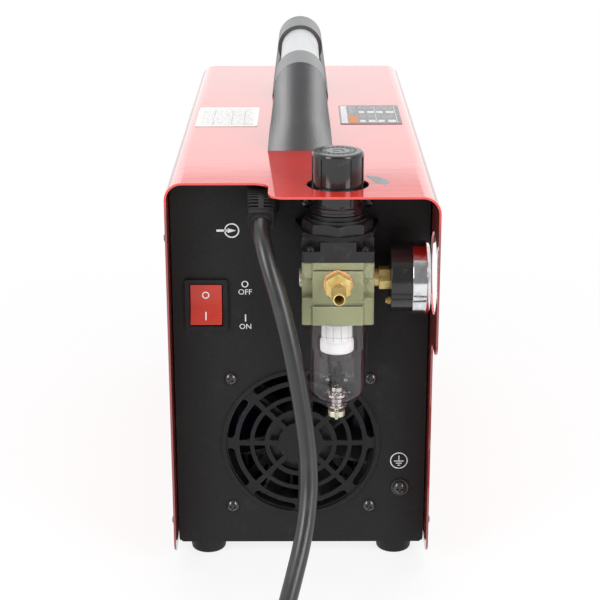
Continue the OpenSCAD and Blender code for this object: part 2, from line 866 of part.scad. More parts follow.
module mains_cord() {
    color([0.05, 0.05, 0.05]) at(0, 0, 0) {
        tube(cord_route, cord_d / 2, cord_sides, [1, 0, 0]);
        tube(tail_route, cord_d / 2, cord_sides, [0, 0, 1]);
    }
}

module cord_coil() {
    color([0.05, 0.05, 0.05]) at(0, 0, 0)
        tube(coil_path, cord_d / 2, coil_sides, [0, 0, 1]);
}

tie_w = 8;
tie_gap = 0.4;

// The tie goes round the turns opposite to where the lead joins the coil
module coil_tie() {
    in_r = coil_mid_d / 2 - layer_turns * coil_pitch / 2 - tie_gap;
    out_r = coil_mid_d / 2 + layer_turns * coil_pitch / 2 + tie_gap;
    high = coil_pitch + cord_d + 2 * tie_gap;
    color([0.1, 0.1, 0.1]) at(coil_x, coil_y - tie_w / 2, floor_z - cord_d / 2) difference() {
        translate([in_r - tie_t, 0, -tie_t])
            cube([out_r - in_r + 2 * tie_t, tie_w, high + 2 * tie_t - tie_gap]);
        translate([in_r, -1, 0])
            cube([out_r - in_r, tie_w + 2, high - tie_gap]);
    }
}

module plug_body() {
    color([0.06, 0.06, 0.06]) at(coil_in[0], plug_y, plug_z) difference() {
        rotate([90, 0, 0]) rotate_extrude() polygon([
            [0, 0], [cord_d / 2 + 1.5, 0], [cord_d / 2 + 2.6, 14],
            [plug_grip_r, 18], [plug_grip_r + 1, plug_len - plug_disc_t - 3],
            [plug_disc_r, plug_len - plug_disc_t], [plug_disc_r, plug_len - 1],
            [plug_disc_r - 1, plug_len], [0, plug_len]
        ]);
        for (s = [-1, 1])
            translate([0, 0, s * (plug_disc_r - 1)])
                translate([-4, -plug_len - 1, -1.5]) cube([8, plug_disc_t + 1, 3]);
    }
}

pin_r = 2.4;
pin_l = 19;
pin_pitch = 19;

module plug_pins() {
    color([0.8, 0.8, 0.8]) for (s = [-1, 1])
        at(coil_in[0] + s * pin_pitch / 2, plug_y, plug_z) {
            y_rod(pin_r, -plug_len - pin_l + 1, -plug_len);
            translate([0, -plug_len - pin_l + 1, 0]) rotate([90, 0, 0])
                cylinder(r1 = pin_r, r2 = pin_r - 1, h = 1);
        }
}

reg_round = 1.6;
pad_w = 28;
pad_out = 1;
bowl_neck_r = bowl_r - 3.2;
collar_h = 7;
port_r = outlet_r + screw_gap;
gauge_port_r = 4.2;
bore_z = body_up - 4;
notch_h = 11.5;
notch_low = 8.4;
notch_deep = 1.8;
stem_bore_r = 3;

// The body is drawn about the crossing of its upright axis and its ports
module regulator_body() {
    color([0.66, 0.67, 0.5]) at(reg_x, -reg_out, port_z) difference() {
        union() {
            rounded_prism(reg_w, reg_w - 2 * pad_out, reg_round, -body_down, body_up);
            for (s = [0, 180])
                rotate(s) translate([-pad_w / 2, reg_w / 2 - 4, -body_down])
                    cube([pad_w, 4, body_down + body_up]);
            z_rod(bowl_r + 1, -body_down - 1, -body_down + eps);
        }
        // grooves across the front pad
        for (z = [body_up - 5, -body_down / 2])
            translate([-pad_w / 2 - 1, -reg_w / 2 - 1, z]) cube([pad_w + 2, 1.7, 1]);
        // stepped notches in the front's two sides, next to the pad
        for (s = [-1, 1], step = [[notch_deep, notch_h, 0], [notch_deep + 1.1, 2.4, 0.3]])
            translate([s > 0 ? pad_w / 2 : -reg_w / 2 - 1, -reg_w / 2 - 1, step[2] - notch_low])
                cube([reg_w / 2 - pad_w / 2 + 1, 1 + pad_out + step[0], step[1]]);
        // inlet, outlet and gauge ports
        y_rod(port_r, -reg_w / 2 - 1, -reg_w / 4);
        y_rod(port_r, reg_w / 4, reg_w / 2 + 1);
        translate([0, 0, -gauge_drop]) x_rod(gauge_port_r, reg_w / 4, reg_w / 2 + 1);
        // the chamber below the diaphragm and the bowl's socket
        z_rod(reg_w / 2 - 6, bore_z, body_up + 1);
        z_rod(bowl_neck_r + free_gap, -body_down - 2, -body_down + collar_h);
        z_rod(stem_bore_r, -body_down, body_up);
        for (p = bonnet_places)
            translate([p[0], p[1], 0]) z_rod(bonnet_tap_r + screw_gap, body_up - 9, body_up + 1);
    }
}

bonnet_screw_p = reg_w / 2 - 5;
bonnet_neck_r = 15;
neck_over = 2.2;
bonnet_bore = 10.5;
recess_z = 6.3;
recess_w = 10.4;
recess_out = 2.5;
bonnet_places = [for (x = [-1, 1], y = [-1, 1]) [x * bonnet_screw_p, y * bonnet_screw_p]];
bonnet_tap_r = 1.6;

module regulator_bonnet() {
    neck_top = ring_top - body_top + neck_over;
    color([0.05, 0.05, 0.05]) at(reg_x, -reg_out, body_top) difference() {
        union() {
            rounded_prism(reg_w, reg_w, reg_round, 0, bonnet_h);
            z_rod(bonnet_neck_r, bonnet_h - eps, neck_top);
        }
        for (p = bonnet_places)
            translate([p[0], p[1], 0]) {
                translate([sign(p[0]), sign(p[1])] * recess_out)
                    rounded_prism(recess_w + 2 * recess_out, recess_w + 2 * recess_out,
                        recess_w / 2 - 0.3, recess_z, bonnet_h + eps);
                z_rod(bonnet_tap_r + screw_gap, -1, recess_z + 1);
            }
        z_rod(bonnet_bore, -1, neck_top - 5);
        z_rod(spindle_r + run_gap, 0, neck_top + 1);
    }
}

module regulator_screws() {
    color([0.6, 0.6, 0.6]) {
        for (p = bonnet_places)
            at(reg_x + p[0], -reg_out + p[1], body_top + recess_z) rotate([180, 0, 0])
                pan_screw(3, 2.2, bonnet_tap_r, recess_z + 7);
        for (p = bracket_places)
            at(p[0], -bracket_t, p[1]) rotate([-90, 0, 0])
                pan_screw(m4_r + 1.6, 2.4, m4_r, bracket_t + panel_t + 5);
    }
}

diaphragm_r = reg_w / 2 - 6.5;

// The diaphragm closes the chamber, and the spring's cup sits on it
module diaphragm() {
    color([0.15, 0.15, 0.15]) at(reg_x, -reg_out, body_top) {
        z_rod(diaphragm_r, -1.5, 0);
        z_rod(7, 0, 1.5);
    }
}

spring_r = 7.6;
spring_wire = 1.1;
spring_turns = 5;
spring_steps = 12;
spring_low = 1.5 + spring_wire;
spring_high = 14.5;
spring_path = [
    for (i = [0 : spring_turns * spring_steps])
        let (a = i * 360 / spring_steps, rise = i / (spring_turns * spring_steps))
        [spring_r * cos(a), spring_r * sin(a),
         spring_low + rise * (spring_high - spring_low)]
];

module regulator_spring() {
    color([0.6, 0.6, 0.62]) at(reg_x, -reg_out, body_top)
        tube(spring_path, spring_wire, 6, [0, 0, 1]);
}

spindle_r = 4;
spindle_drop = 12.4;
plate_low = spring_high + spring_wire + free_gap;

// The adjusting spindle turns in the bonnet and presses on the spring's plate;
// it reaches so far up the knob that the lifted knob still holds it
module regulator_spindle() {
    color([0.75, 0.76, 0.78]) at(reg_x, -reg_out, body_top) {
        z_rod(9, plate_low, plate_low + 1.6);
        z_rod(spindle_r, plate_low, knob_low - body_top + knob_h - spindle_drop + knob_lift);
    }
}

ring_corners = 8;
ring_chamfer = 0.8;
ring_lip = 1.4;

// An eight-sided nut with a round lip on top; one corner points to the rear
module lock_ring() {
    flat_top = ring_h - ring_lip;
    color([0.05, 0.05, 0.05]) at(reg_x, -reg_out, ring_low) difference() {
        union() {
            intersection() {
                linear_extrude(flat_top) rotate(90) circle(ring_r, $fn = ring_corners);
                rotate_extrude() polygon([
                    [0, -1], [ring_r, -1], [ring_r, flat_top - ring_chamfer],
                    [ring_r - 2 * ring_chamfer, flat_top], [0, flat_top]
                ]);
            }
            z_rod(bonnet_neck_r + 2, 0, ring_h);
        }
        z_rod(bonnet_neck_r + screw_gap, -1, ring_h + 1);
    }
}

knob_panels = 8;
panel_angle = 26.5;
panel_turn = -90 + 16.4;
panel_depth = 0.6;
knob_skirt_h = 4;
knob_cap_h = 1.7;
knob_groove = 0.5;

// The knob: a grooved skirt, eight shallow flat-sided flutes and a domed cap
module regulator_knob() {
    top_r = knob_r - 0.8;
    flute_top = knob_h - knob_cap_h;
    color([0.05, 0.05, 0.05]) at(reg_x, -reg_out, knob_low) difference() {
        rotate_extrude() polygon([
            [0, 0], [knob_r, 0], [knob_r, 1], [knob_r - knob_groove, 1.3],
            [knob_r - knob_groove, 2], [knob_r, 2.3], [knob_r, knob_skirt_h - 0.8],
            [top_r, knob_skirt_h], [top_r, flute_top],
            for (a = [15 : 15 : 90])
                [top_r - knob_cap_h * (1 - cos(a)), flute_top + knob_cap_h * sin(a)],
            [0, knob_h]
        ]);
        for (k = [0 : knob_panels - 1])
            rotate(panel_turn + k * 360 / knob_panels - panel_angle / 2)
                translate([0, 0, knob_skirt_h + 0.8])
                    rotate_extrude(angle = panel_angle)
                        translate([top_r - panel_depth, 0])
                            square([2, flute_top - knob_skirt_h - 1.6]);
        z_rod(bonnet_neck_r - 3, -1, 6);
        z_rod(spindle_r + run_gap, 5, knob_h - 3);
        // a ring is cut into the knob's top
        translate([0, 0, knob_h - 0.6]) difference() {
            cylinder(r = 10.2, h = 2);
            translate([0, 0, -1]) cylinder(r = 9.5, h = 4);
        }
    }
}

bracket_hole_r = bonnet_neck_r + screw_gap;
bracket_back_w = 48.6;
bracket_nose_r = 20.4;
bracket_flange_h = 22;

module regulator_bracket() {
    color([0.07, 0.07, 0.07]) at(reg_x, 0, bonnet_top) difference() {
        union() {
            linear_extrude(bracket_t) {
                translate([0, -reg_out]) circle(bracket_nose_r);
                polygon([
                    [1 - bracket_nose_r, -reg_out - 10], [bracket_nose_r - 1, -reg_out - 10],
                    [bracket_back_w / 2, 0], [-bracket_back_w / 2, 0]
                ]);
            }
            translate([-bracket_back_w / 2, -bracket_t, 0])
                cube([bracket_back_w, bracket_t, bracket_flange_h]);
        }
        translate([0, -reg_out, 0]) z_rod(bracket_hole_r, -1, bracket_t + 1);
        for (s = [-1, 1])
            translate([s * bracket_screw_x, 0, bracket_screw_z - bonnet_top])
                y_rod(m4_r + screw_gap, -bracket_t - 1, 1);
        // clearance round the lock ring and the knob
        translate([0, -reg_out, 0]) z_rod(ring_r + free_gap, bracket_t, bracket_flange_h + 1);
    }
}

bowl_flange_t = 3;
drain_r = 4.9;
drain_z = 8.8;
drain_neck_r = 3.6;
boss_r = 7.3;
boss_h = 2.2;
bowl_tabs = 4;

// The bowl is drawn down from the body's underside
module bowl() {
    straight = bowl_l - bowl_r * 0.55;
    color([0.92, 0.94, 0.93, 0.45]) at(reg_x, -reg_out, port_z - body_down - 1) difference() {
        union() {
            z_rod(bowl_neck_r, -free_gap - bowl_flange_t, collar_h - 1);
            rotate_extrude() polygon([
                [0, -free_gap], [bowl_r + 1, -free_gap], [bowl_r + 1, -7], [bowl_r, -8],
                for (a = [0 : 10 : 80])
                    [bowl_r * cos(a), -straight - (bowl_l - straight) * sin(a)],
                [0, -bowl_l]
            ]);
            for (k = [0 : bowl_tabs - 1])
                rotate(45 + k * 360 / bowl_tabs)
                    translate([bowl_r + 0.2, 0, -16]) rounded_prism(2, 5, 0.6, 0, 10);
            z_rod(boss_r, -bowl_l - boss_h, -bowl_l + 3 * bowl_t);
        }
        rotate_extrude() polygon([
            [0, collar_h], [bowl_neck_r - bowl_t, collar_h], [bowl_neck_r - bowl_t, -6],
            [bowl_r - bowl_t, -10],
            for (a = [0 : 10 : 80])
                [(bowl_r - bowl_t) * cos(a), -straight - (bowl_l - straight - bowl_t) * sin(a)],
            [0, bowl_t - bowl_l]
        ]);
        z_rod(drain_neck_r + screw_gap, -bowl_l - boss_h - 1, -bowl_l + 2 * bowl_t + 1);
    }
}

bowl_low = port_z - body_down - 1 - bowl_l;
drain_pin_r = 1.6;
collar_t = 1.2;

module drain_valve() {
    color([0.72, 0.66, 0.5]) at(reg_x, -reg_out, bowl_low) difference() {
        union() {
            z_rod(drain_neck_r, -boss_h - collar_t, 9);
            z_rod(drain_r + 1, bowl_t + 0.9, bowl_t + 2.6);
            z_rod(drain_r, -boss_h - collar_t, -boss_h - 0.1);
        }
        z_rod(drain_pin_r + run_gap, -boss_h - collar_t - 1, 10);
    }
}

drain_travel = 1.8;

module drain_knob() {
    color([0.78, 0.66, 0.4]) at(reg_x, -reg_out, bowl_low) {
        z_rod(drain_pin_r, -drain_z + 1, 7);
        z_rod(drain_r, -drain_z, -boss_h - collar_t - drain_travel - free_gap);
        z_rod(1.1, -drain_z - 2.8, -drain_z + eps);
    }
}

filter_r = 9.4;
filter_top = -body_down - 3;
filter_len = 19;

filter_skirt_h = 7.5;
filter_slots = 12;

// The element stands in its louvred guide, whose skirt is the wider part
module filter_element() {
    color([0.93, 0.93, 0.9]) at(reg_x, -reg_out, port_z + filter_top) difference() {
        rotate_extrude() polygon([
            [0, 0], [filter_r - 0.6, 0], [filter_r - 0.6, filter_skirt_h - filter_len],
            [filter_r + 0.2, filter_skirt_h - filter_len - 1],
            for (a = [0 : 15 : 90])
                [filter_r - 1.3 + 1.5 * cos(a), 1.5 - filter_len - 1.5 * sin(a)],
            [0, -filter_len]
        ]);
        z_rod(stem_bore_r + 0.2, -filter_len - 1, 1);
        for (k = [0 : filter_slots - 1])
            rotate((k + 0.5) * 360 / filter_slots + 90)
                translate([filter_r - 1.6, -0.3, filter_skirt_h - filter_len + 0.5])
                    cube([2, 0.6, filter_len - filter_skirt_h - 2]);
    }
}

module filter_baffle() {
    color([0.85, 0.86, 0.84]) at(reg_x, -reg_out, port_z + filter_top) {
        z_rod(filter_r + 0.8, -filter_len - 3, -filter_len);
        // the stem that hangs the filter from the body
        z_rod(stem_bore_r - 0.1, -filter_len - 6, 10);
        z_rod(filter_r, 0, 0.8);
    }
}

hex_in = 13.5;
outlet_flats = 14;
barb_r = 4;

// A barbed tail along -Y from y0, with three ridges
module barb_tail(y0, length, root_r, bore_r) {
    ridges = 3;
    step = (length - 4) / ridges;
    difference() {
        union() {
            y_rod(root_r - 0.8, y0 - length, y0);
            for (k = [0 : ridges - 1])
                translate([0, y0 - length + k * step, 0]) rotate([-90, 0, 0])
                    cylinder(r1 = root_r - 0.8, r2 = root_r + 0.2, h = step - 1.2);
        }
        y_rod(bore_r, y0 - length - 1, y0 + 1);
    }
}

module air_fittings() {
    hex_l = 7;
    brass = [0.78, 0.6, 0.25];
    color(brass) {
        at(reg_x, -reg_out - reg_w / 2, port_z) {
            difference() {
                union() {
                    y_rod(outlet_r, -eps, 6);
                    along_y(-hex_l, 0) rotate(30) hex_outline(hex_in);
                }
                y_rod(barb_bore / 2, -hex_l - 1, 7);
            }
            barb_tail(-hex_l + eps, barb_l - hex_l, barb_r, barb_bore / 2);
        }
        // the outlet passes through the panel into the solenoid valve
        at(reg_x, 0, port_z) difference() {
            union() {
                y_rod(outlet_r, -reg_out + reg_w / 4 + 2, valve_y + 6);
                along_y(panel_t + free_gap, valve_y) hex_outline(outlet_flats);
            }
            y_rod(hose_bore / 2, -reg_out, valve_y + 7);
        }
    }
}

stem_l = 9;
stem_r = 5;
stem_x = reg_x + reg_w / 2;
case_x = stem_x + stem_l + 0.5;
bezel_x = case_x + gauge_case_d;
glass_t = 1.6;
dial_t = 0.8;
pointer_gap = 1.2;
arbor_r = 0.8;

module gauge_stem() {
    color([0.78, 0.6, 0.25]) at(stem_x, -reg_out, gauge_z) difference() {
        union() {
            x_rod(gauge_port_r - screw_gap, -6, 1);
            x_rod(stem_r, 0, 3.4);
            along_x(3.3, stem_l + 0.5) hex_outline(11.6);
        }
        x_rod(1.5, -7, stem_l - 1);
    }
}

module gauge_case() {
    color([0.06, 0.06, 0.06]) at(case_x, -reg_out, gauge_z) difference() {
        union() {
            x_rod(gauge_r - 2, 0, gauge_case_d + 4);
            x_rod(arbor_r + 1.5, gauge_case_d + 3, gauge_case_d + 5);
        }
        x_rod(arbor_r + run_gap, gauge_case_d - 3, gauge_case_d + 6);
    }
}

module gauge_bezel() {
    color([0.85, 0.86, 0.88]) at(bezel_x, -reg_out, gauge_z) difference() {
        rotate([0, 90, 0]) rotate_extrude() polygon([
            [gauge_r - 1.9, 0], [gauge_r, 0], [gauge_r, gauge_bezel_d - 2],
            [gauge_r - 1.5, gauge_bezel_d], [gauge_r - 3.6, gauge_bezel_d],
            [gauge_r - 3.6, gauge_bezel_d - 1], [gauge_r - 1.9, gauge_bezel_d - 1]
        ]);
    }
}

module gauge_dial() {
    color([0.96, 0.96, 0.94]) at(bezel_x, -reg_out, gauge_z) difference() {
        x_rod(gauge_r - 2.1, 4, 4 + dial_t);
        x_rod(arbor_r + 1.7, 3, 6);
    }
}

module gauge_glass() {
    color([0.85, 0.92, 0.95, 0.35]) at(bezel_x, -reg_out, gauge_z)
        x_rod(gauge_r - 2.1, gauge_bezel_d - 1 - glass_t, gauge_bezel_d - 1);
}

pointer_l = 13.5;

// The pointer rests at the low end of the dial
module gauge_pointer() {
    x0 = 4 + dial_t + pointer_gap - 0.4;
    color([0.05, 0.05, 0.05]) at(bezel_x, -reg_out, gauge_z) {
        x_rod(arbor_r, -1, x0 + 1.4);
        x_rod(2.2, x0, x0 + 0.6);
        along_x(x0, x0 + 0.6) rotate(135)
            polygon([[-1.2, -4], [1.2, -4], [0.4, pointer_l], [-0.4, pointer_l]]);
    }
}

washer_t = 1.2;

module earth_screw() {
    color([0.12, 0.12, 0.12]) {
        at(earth_x, -washer_t, earth_z) rotate([-90, 0, 0])
            pan_screw(m4_r + 2.2, 3.4, m4_r, washer_t + panel_t + 9);
        at(earth_x, 0, earth_z) difference() {
            y_rod(m4_r + 3.2, -washer_t, 0);
            y_rod(m4_r + screw_gap, -2, 1);
        }
    }
}

tube_end = 8;
tube_gap = 0.1;
base_t = 1;

// One arm of the handle, rising from its foot at y = 0 to its collar
module handle_arm() {
    difference() {
        union() {
            hull() {
                translate([-arm_w / 2, 0, 0]) cube([arm_w, arm_foot, base_t]);
                translate([0, arm_slope, grip_z]) rotate([-90, 0, 0])
                    cylinder(r = collar_r - 0.04, h = 2, $fn = 48);
                translate([0, arm_slope + collar_l / 2, grip_z]) rotate([-90, 0, 0])
                    cylinder(r = collar_r * 0.8, h = 2, $fn = 48);
            }
            translate([0, 0, grip_z]) y_rod(collar_r, arm_slope, arm_slope + collar_l);
        }
        translate([0, 0, grip_z])
            y_rod(grip_r + tube_gap, arm_slope + tube_end, arm_slope + collar_l + 1);
        for (x = [-handle_screw_x, handle_screw_x])
            translate([x, arm_foot / 2, 0]) z_rod(m5_r + screw_gap, -1, handle_screw_l + 1);
    }
}

module handle_rear_arm() {
    color([0.12, 0.12, 0.12]) at(0, handle_y, case_h) handle_arm();
}

module handle_front_arm() {
    color([0.12, 0.12, 0.12]) at(0, handle_y + handle_l, case_h)
        mirror([0, 1, 0]) handle_arm();
}

module handle_grip() {
    y0 = handle_y + arm_slope + tube_end + 0.5;
    y1 = handle_y + handle_l - arm_slope - tube_end - 0.5;
    color([0.9, 0.9, 0.9]) at(0, 0, case_h + grip_z) difference() {
        y_rod(grip_r, y0, y1);
        y_rod(grip_r - 2, y0 - 1, y1 + 1);
    }
}

pot_body_r = 8;
pot_y = front_y - panel_t;
knob_gap = 0.8;

module current_pot() {
    color([0.5, 0.5, 0.52]) at(knob_x, 0, dial_z) difference() {
        y_rod(pot_body_r, pot_y - 12, pot_y);
        y_rod(pot_r + run_gap, pot_y - 9, pot_y + 1);
    }
}

module current_knob() {
    y0 = front_y + knob_gap;
    color([0.06, 0.06, 0.06]) at(knob_x, 0, dial_z) {
        y_rod(pot_r, pot_y - 8.6, y0 + 1);
        difference() {
            y_rod(dial_r, y0, front_y + dial_reach);
            for (k = [0 : 17])
                rotate([0, k * 20, 0]) translate([dial_r + 0.6, 0, 0])
                    y_rod(1.4, y0 + 4, front_y + dial_reach + 1);
            translate([-0.6, front_y + dial_reach - 0.6, 3]) cube([1.2, 2, dial_r]);
        }
    }
}

module indicator_lamps() {
    color([0.9, 0.5, 0.2]) for (x = lamp_x)
        at(x, 0, dial_z - lamp_drop) {
            y_rod(lamp_r, front_y - 6, front_y);
            translate([0, front_y, 0]) intersection() {
                sphere(r = lamp_r);
                y_rod(lamp_r, -0.5, lamp_r);
            }
            y_rod(lamp_r + 0.7, front_y - 6, front_y - panel_t - eps);
        }
}

module display() {
    color([0.05, 0.05, 0.06]) at(display_x, front_y, dial_z) {
        along_y(0, 2) square([display_w, display_h], center = true);
        along_y(-display_depth, eps)
            square([display_back_w, display_back_h], center = true);
    }
}

torch_bore_r = 6;
torch_in = 24;

// The torch socket: a flanged barrel with a stepped bore and a threaded nose
module torch_socket() {
    color([0.7, 0.55, 0.25]) at(socket_x, 0, socket_z) difference() {
        union() {
            y_rod(torch_hole_r, front_y - torch_in, front_y + torch_reach - 4);
            y_rod(torch_r, front_y, front_y + 4);
            y_rod(torch_hole_r - 1, front_y, front_y + torch_reach);
        }
        y_rod(torch_bore_r, front_y - 10, front_y + torch_reach + 1);
        y_rod(hose_bore / 2, front_y - torch_in - 1, front_y);
    }
}

work_bore_r = 4.5;
work_in = 22;

// The work lead's socket: an insulating collar round a brass bush
module work_socket() {
    color([0.08, 0.08, 0.08]) at(-socket_x, 0, socket_z) difference() {
        union() {
            y_rod(work_hole_r, front_y - work_in, front_y + 1);
            along_y(front_y, front_y + 4) {
                square([2 * torch_r, 2 * torch_r - 8], center = true);
                square([2 * torch_r - 8, 2 * torch_r], center = true);
                for (x = [-1, 1], z = [-1, 1])
                    translate([x * (torch_r - 4), z * (torch_r - 4)]) circle(4);
            }
            y_rod(torch_hole_r + 1, front_y, front_y + 12);
        }
        y_rod(work_bore_r, front_y - 16, front_y + 13);
        y_rod(work_bore_r + 3.5, front_y + 2, front_y + 13);
    }
}

sink_w = 58;
sink_x = 34;
sink_y = 40;
fin_t = 2;
fins = 9;
sink_base = 6;

module heatsinks() {
    fin_pitch = (sink_w - fin_t) / (fins - 1);
    color([0.7, 0.7, 0.72]) for (s = [-1, 1])
        at(s * sink_x - sink_w / 2, sink_y, panel_t) {
            translate([0, 0, sink_h - sink_base]) cube([sink_w, sink_l, sink_base]);
            for (k = [0 : fins - 1])
                translate([k * fin_pitch, 0, 0]) cube([fin_t, sink_l, sink_h - 1]);
        }
}

board_t = 1.6;
board_z = panel_t + sink_h;
board_w = 128;
board_l = sink_l + 24;

module main_board() {
    color([0.1, 0.35, 0.15]) at(-board_w / 2, sink_y - 2, board_z)
        cube([board_w, board_l, board_t]);
}

cap_pitch_x = 40;
cap_pitch_y = 42;
cap_first_y = sink_y + 26;

module capacitors() {
    color([0.1, 0.12, 0.3]) for (x = [-1, 0, 1], y = [0, 1])
        at(x * cap_pitch_x, cap_first_y + y * cap_pitch_y, board_z + board_t)
            z_rod(cap_r, 0, cap_h);
}

core_y = sink_y + sink_l + 34;
core_w = 56;
core_l = 44;
core_h = 48;
window_w = 12;

// Two E cores of ferrite round a wound bobbin
module transformer() {
    leg = (core_w - 2 * window_w) / 4;
    color([0.25, 0.22, 0.2]) at(-socket_x + 2, core_y, panel_t) {
        difference() {
            translate([-core_w / 2, 0, 0]) cube([core_w, core_l, core_h]);
            for (s = [-1, 1])
                translate([s * (leg + window_w / 2) - window_w / 2, -1, leg])
                    cube([window_w, core_l + 2, core_h - 2 * leg]);
        }
        translate([0, core_l / 2, 0]) difference() {
            rounded_prism(2 * (leg + window_w) - 1, core_l + 16, 6, leg + 1, core_h - leg - 1);
            rounded_prism(2 * leg + 0.6, core_l + 0.6, 0.2, leg, core_h);
        }
    }
}

choke_r = 30;
choke_wind_r = 12;

// A ring core with its winding, standing on the tray
module arc_choke() {
    color([0.6, 0.35, 0.15]) at(socket_x - 2, core_y + core_l / 2, panel_t) difference() {
        rotate_extrude() translate([choke_r - choke_wind_r, choke_wind_r])
            circle(choke_wind_r - 0.3);
        translate([0, 0, -1]) cylinder(r = 2 * choke_r, h = 1.5);
    }
}

valve_y = panel_t + 9;
valve_w = 30;
valve_low = 14;
valve_over_fan = 17.1;
plunger_r = 4;
plunger_travel = 3;
guide_h = port_z - valve_low - fan_top - valve_over_fan;

module solenoid_valve() {
    color([0.7, 0.55, 0.25]) at(reg_x, valve_y, port_z) difference() {
        union() {
            translate([-valve_w / 2, 0, -valve_low]) cube([valve_w, valve_w, 2 * valve_low]);
            translate([0, valve_w / 2, -valve_low])
                rounded_prism(valve_w - 2, valve_w - 2, 4, -guide_h, eps);
        }
        y_rod(port_r, -1, 8);
        y_rod(hose_bore / 2, -1, valve_w + 1);
        y_rod(port_r, valve_w - 8, valve_w + 1);
        translate([0, valve_w / 2, -valve_low]) z_rod(plunger_r + run_gap, -guide_h + 3, 8);
    }
}

module solenoid_plunger() {
    color([0.75, 0.76, 0.78]) at(reg_x, valve_y + valve_w / 2, port_z - valve_low)
        z_rod(plunger_r, -guide_h + 3 + plunger_travel + free_gap, 8 - free_gap);
}

// The air hose runs inside the case, from the valve to the torch socket
hose_end_y = front_y - torch_in;
hose_y0 = valve_y + valve_w;
hose_lead = 8;
// Shares of the way from the valve to the socket, across, along and down
hose_shares = [
    [0, 0.09, 0.025], [0.075, 0.19, 0.1], [0.3, 0.295, 0.225], [0.65, 0.415, 0.335],
    [1, 0.535, 0.415], [1.23, 0.65, 0.51], [1.29, 0.75, 0.635], [1.23, 0.84, 0.78],
    [1.11, 0.92, 0.905]
];
hose_route = [
    [reg_x, hose_y0, port_z],
    [reg_x, hose_y0 + hose_lead, port_z],
    for (p = hose_shares) [
        reg_x + p[0] * (socket_x - reg_x),
        hose_y0 + p[1] * (hose_end_y - hose_y0),
        port_z + p[2] * (socket_z - port_z)
    ],
    [socket_x, hose_end_y - hose_lead, socket_z],
    [socket_x, hose_end_y, socket_z]
];

module air_hoses() {
    color([0.1, 0.2, 0.5]) at(0, 0, 0)
        tube(hose_route, hose_d / 2, 8, [1, 0, 0]);
}

cover();
tray();
rear_panel();
front_panel();
feet();
m5_screws();
cover_screws();
top_labels();
fan_frame();
fan_rotor();
fan_screws();
switch_housing();
rocker();
switch_terminals();
cord_boot();
mains_cord();
cord_coil();
coil_tie();
plug_body();
plug_pins();
regulator_body();
regulator_bonnet();
regulator_screws();
lock_ring();
regulator_knob();
regulator_spindle();
regulator_spring();
diaphragm();
filter_element();
filter_baffle();
bowl();
drain_valve();
drain_knob();
regulator_bracket();
air_fittings();
gauge_stem();
gauge_case();
gauge_bezel();
gauge_glass();
gauge_dial();
gauge_pointer();
earth_screw();
handle_rear_arm();
handle_front_arm();
handle_grip();
current_knob();
current_pot();
indicator_lamps();
display();
torch_socket();
work_socket();
main_board();
heatsinks();
transformer();
arc_choke();
capacitors();
solenoid_valve();
solenoid_plunger();
air_hoses();
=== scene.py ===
import json
import random
from math import cos, pi, radians, sin

import bmesh
import bpy
from mathutils import Matrix, Vector
from mathutils.bvhtree import BVHTree


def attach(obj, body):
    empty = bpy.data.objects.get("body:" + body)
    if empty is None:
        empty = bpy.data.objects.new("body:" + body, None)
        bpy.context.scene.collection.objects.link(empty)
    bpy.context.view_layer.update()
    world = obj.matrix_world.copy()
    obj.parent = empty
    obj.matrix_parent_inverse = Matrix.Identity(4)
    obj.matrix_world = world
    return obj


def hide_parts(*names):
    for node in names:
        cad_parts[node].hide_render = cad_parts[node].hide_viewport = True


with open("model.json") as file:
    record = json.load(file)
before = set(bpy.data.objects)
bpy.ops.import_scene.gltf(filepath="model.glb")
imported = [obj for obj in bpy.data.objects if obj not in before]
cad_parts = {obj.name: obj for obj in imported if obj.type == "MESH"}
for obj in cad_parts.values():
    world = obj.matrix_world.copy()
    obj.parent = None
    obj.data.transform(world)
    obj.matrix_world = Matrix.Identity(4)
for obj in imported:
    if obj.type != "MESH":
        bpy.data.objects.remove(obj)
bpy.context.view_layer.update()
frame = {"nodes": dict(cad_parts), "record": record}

# The part's own millimetres: x to the right seen from behind, y from the rear
# panel to the front panel, z up from the underside of the tray.
MM = 0.001
REAR_Y = -141.5
FOOT_H = 9.0
NODES = frame["nodes"]
SLOT_OF = {part["node"]: part["material_slot"] for part in frame["record"]["subparts"]}
REG_X, REG_Y, PORT_Z = 20.7, -21.0, 178.5
GAUGE_Z, KNOB_TOP = 175.9, 249.1
FRONT_Y, CASE_TOP = 328.0, 230.0
HANDLE_MID, COLLAR_END = 168.0, 93.0
ARM_HALF = 19.5
BODY_OF = {
    node: body
    for body, members in frame["record"]["behaviour"]["bodies"].items()
    for node in members
}


def spot(x, y, z):
    """A point of the part, in metres in the shared frame."""
    return Vector((x, y + REAR_Y, z + FOOT_H)) * MM


def new_object(name, data):
    """An object that stands in the scene."""
    thing = bpy.data.objects.new(name, data)
    bpy.context.scene.collection.objects.link(thing)
    return thing


def with_nodes(holder):
    """A material or a world with an empty tree."""
    holder.use_nodes = True
    holder.node_tree.nodes.clear()
    return holder


def mesh_of(name, shape):
    """A mesh made from a shape, which is given up."""
    mesh = bpy.data.meshes.new(name)
    shape.to_mesh(mesh)
    shape.free()
    return mesh


# ---- Camera ----

CAMERA_RIGHT, CAMERA_BACK, CAMERA_UP = 0.3, 866.0, 447.0
CAMERA_DIP, CAMERA_ROLL = 18.6, 0.12
CAMERA_LENS, CAMERA_SENSOR = 94.6, 36.0


def set_camera():
    camera = new_object("camera", bpy.data.cameras.new("camera"))
    camera.data.sensor_width = CAMERA_SENSOR
    camera.data.lens = CAMERA_LENS
    camera.data.clip_start = 0.05
    camera.location = spot(CAMERA_RIGHT, -CAMERA_BACK, CAMERA_UP)
    camera.rotation_euler = (radians(90 - CAMERA_DIP), radians(CAMERA_ROLL), 0)
    bpy.context.scene.camera = camera


set_camera()


# ---- The mains lead: its route and its coil ----

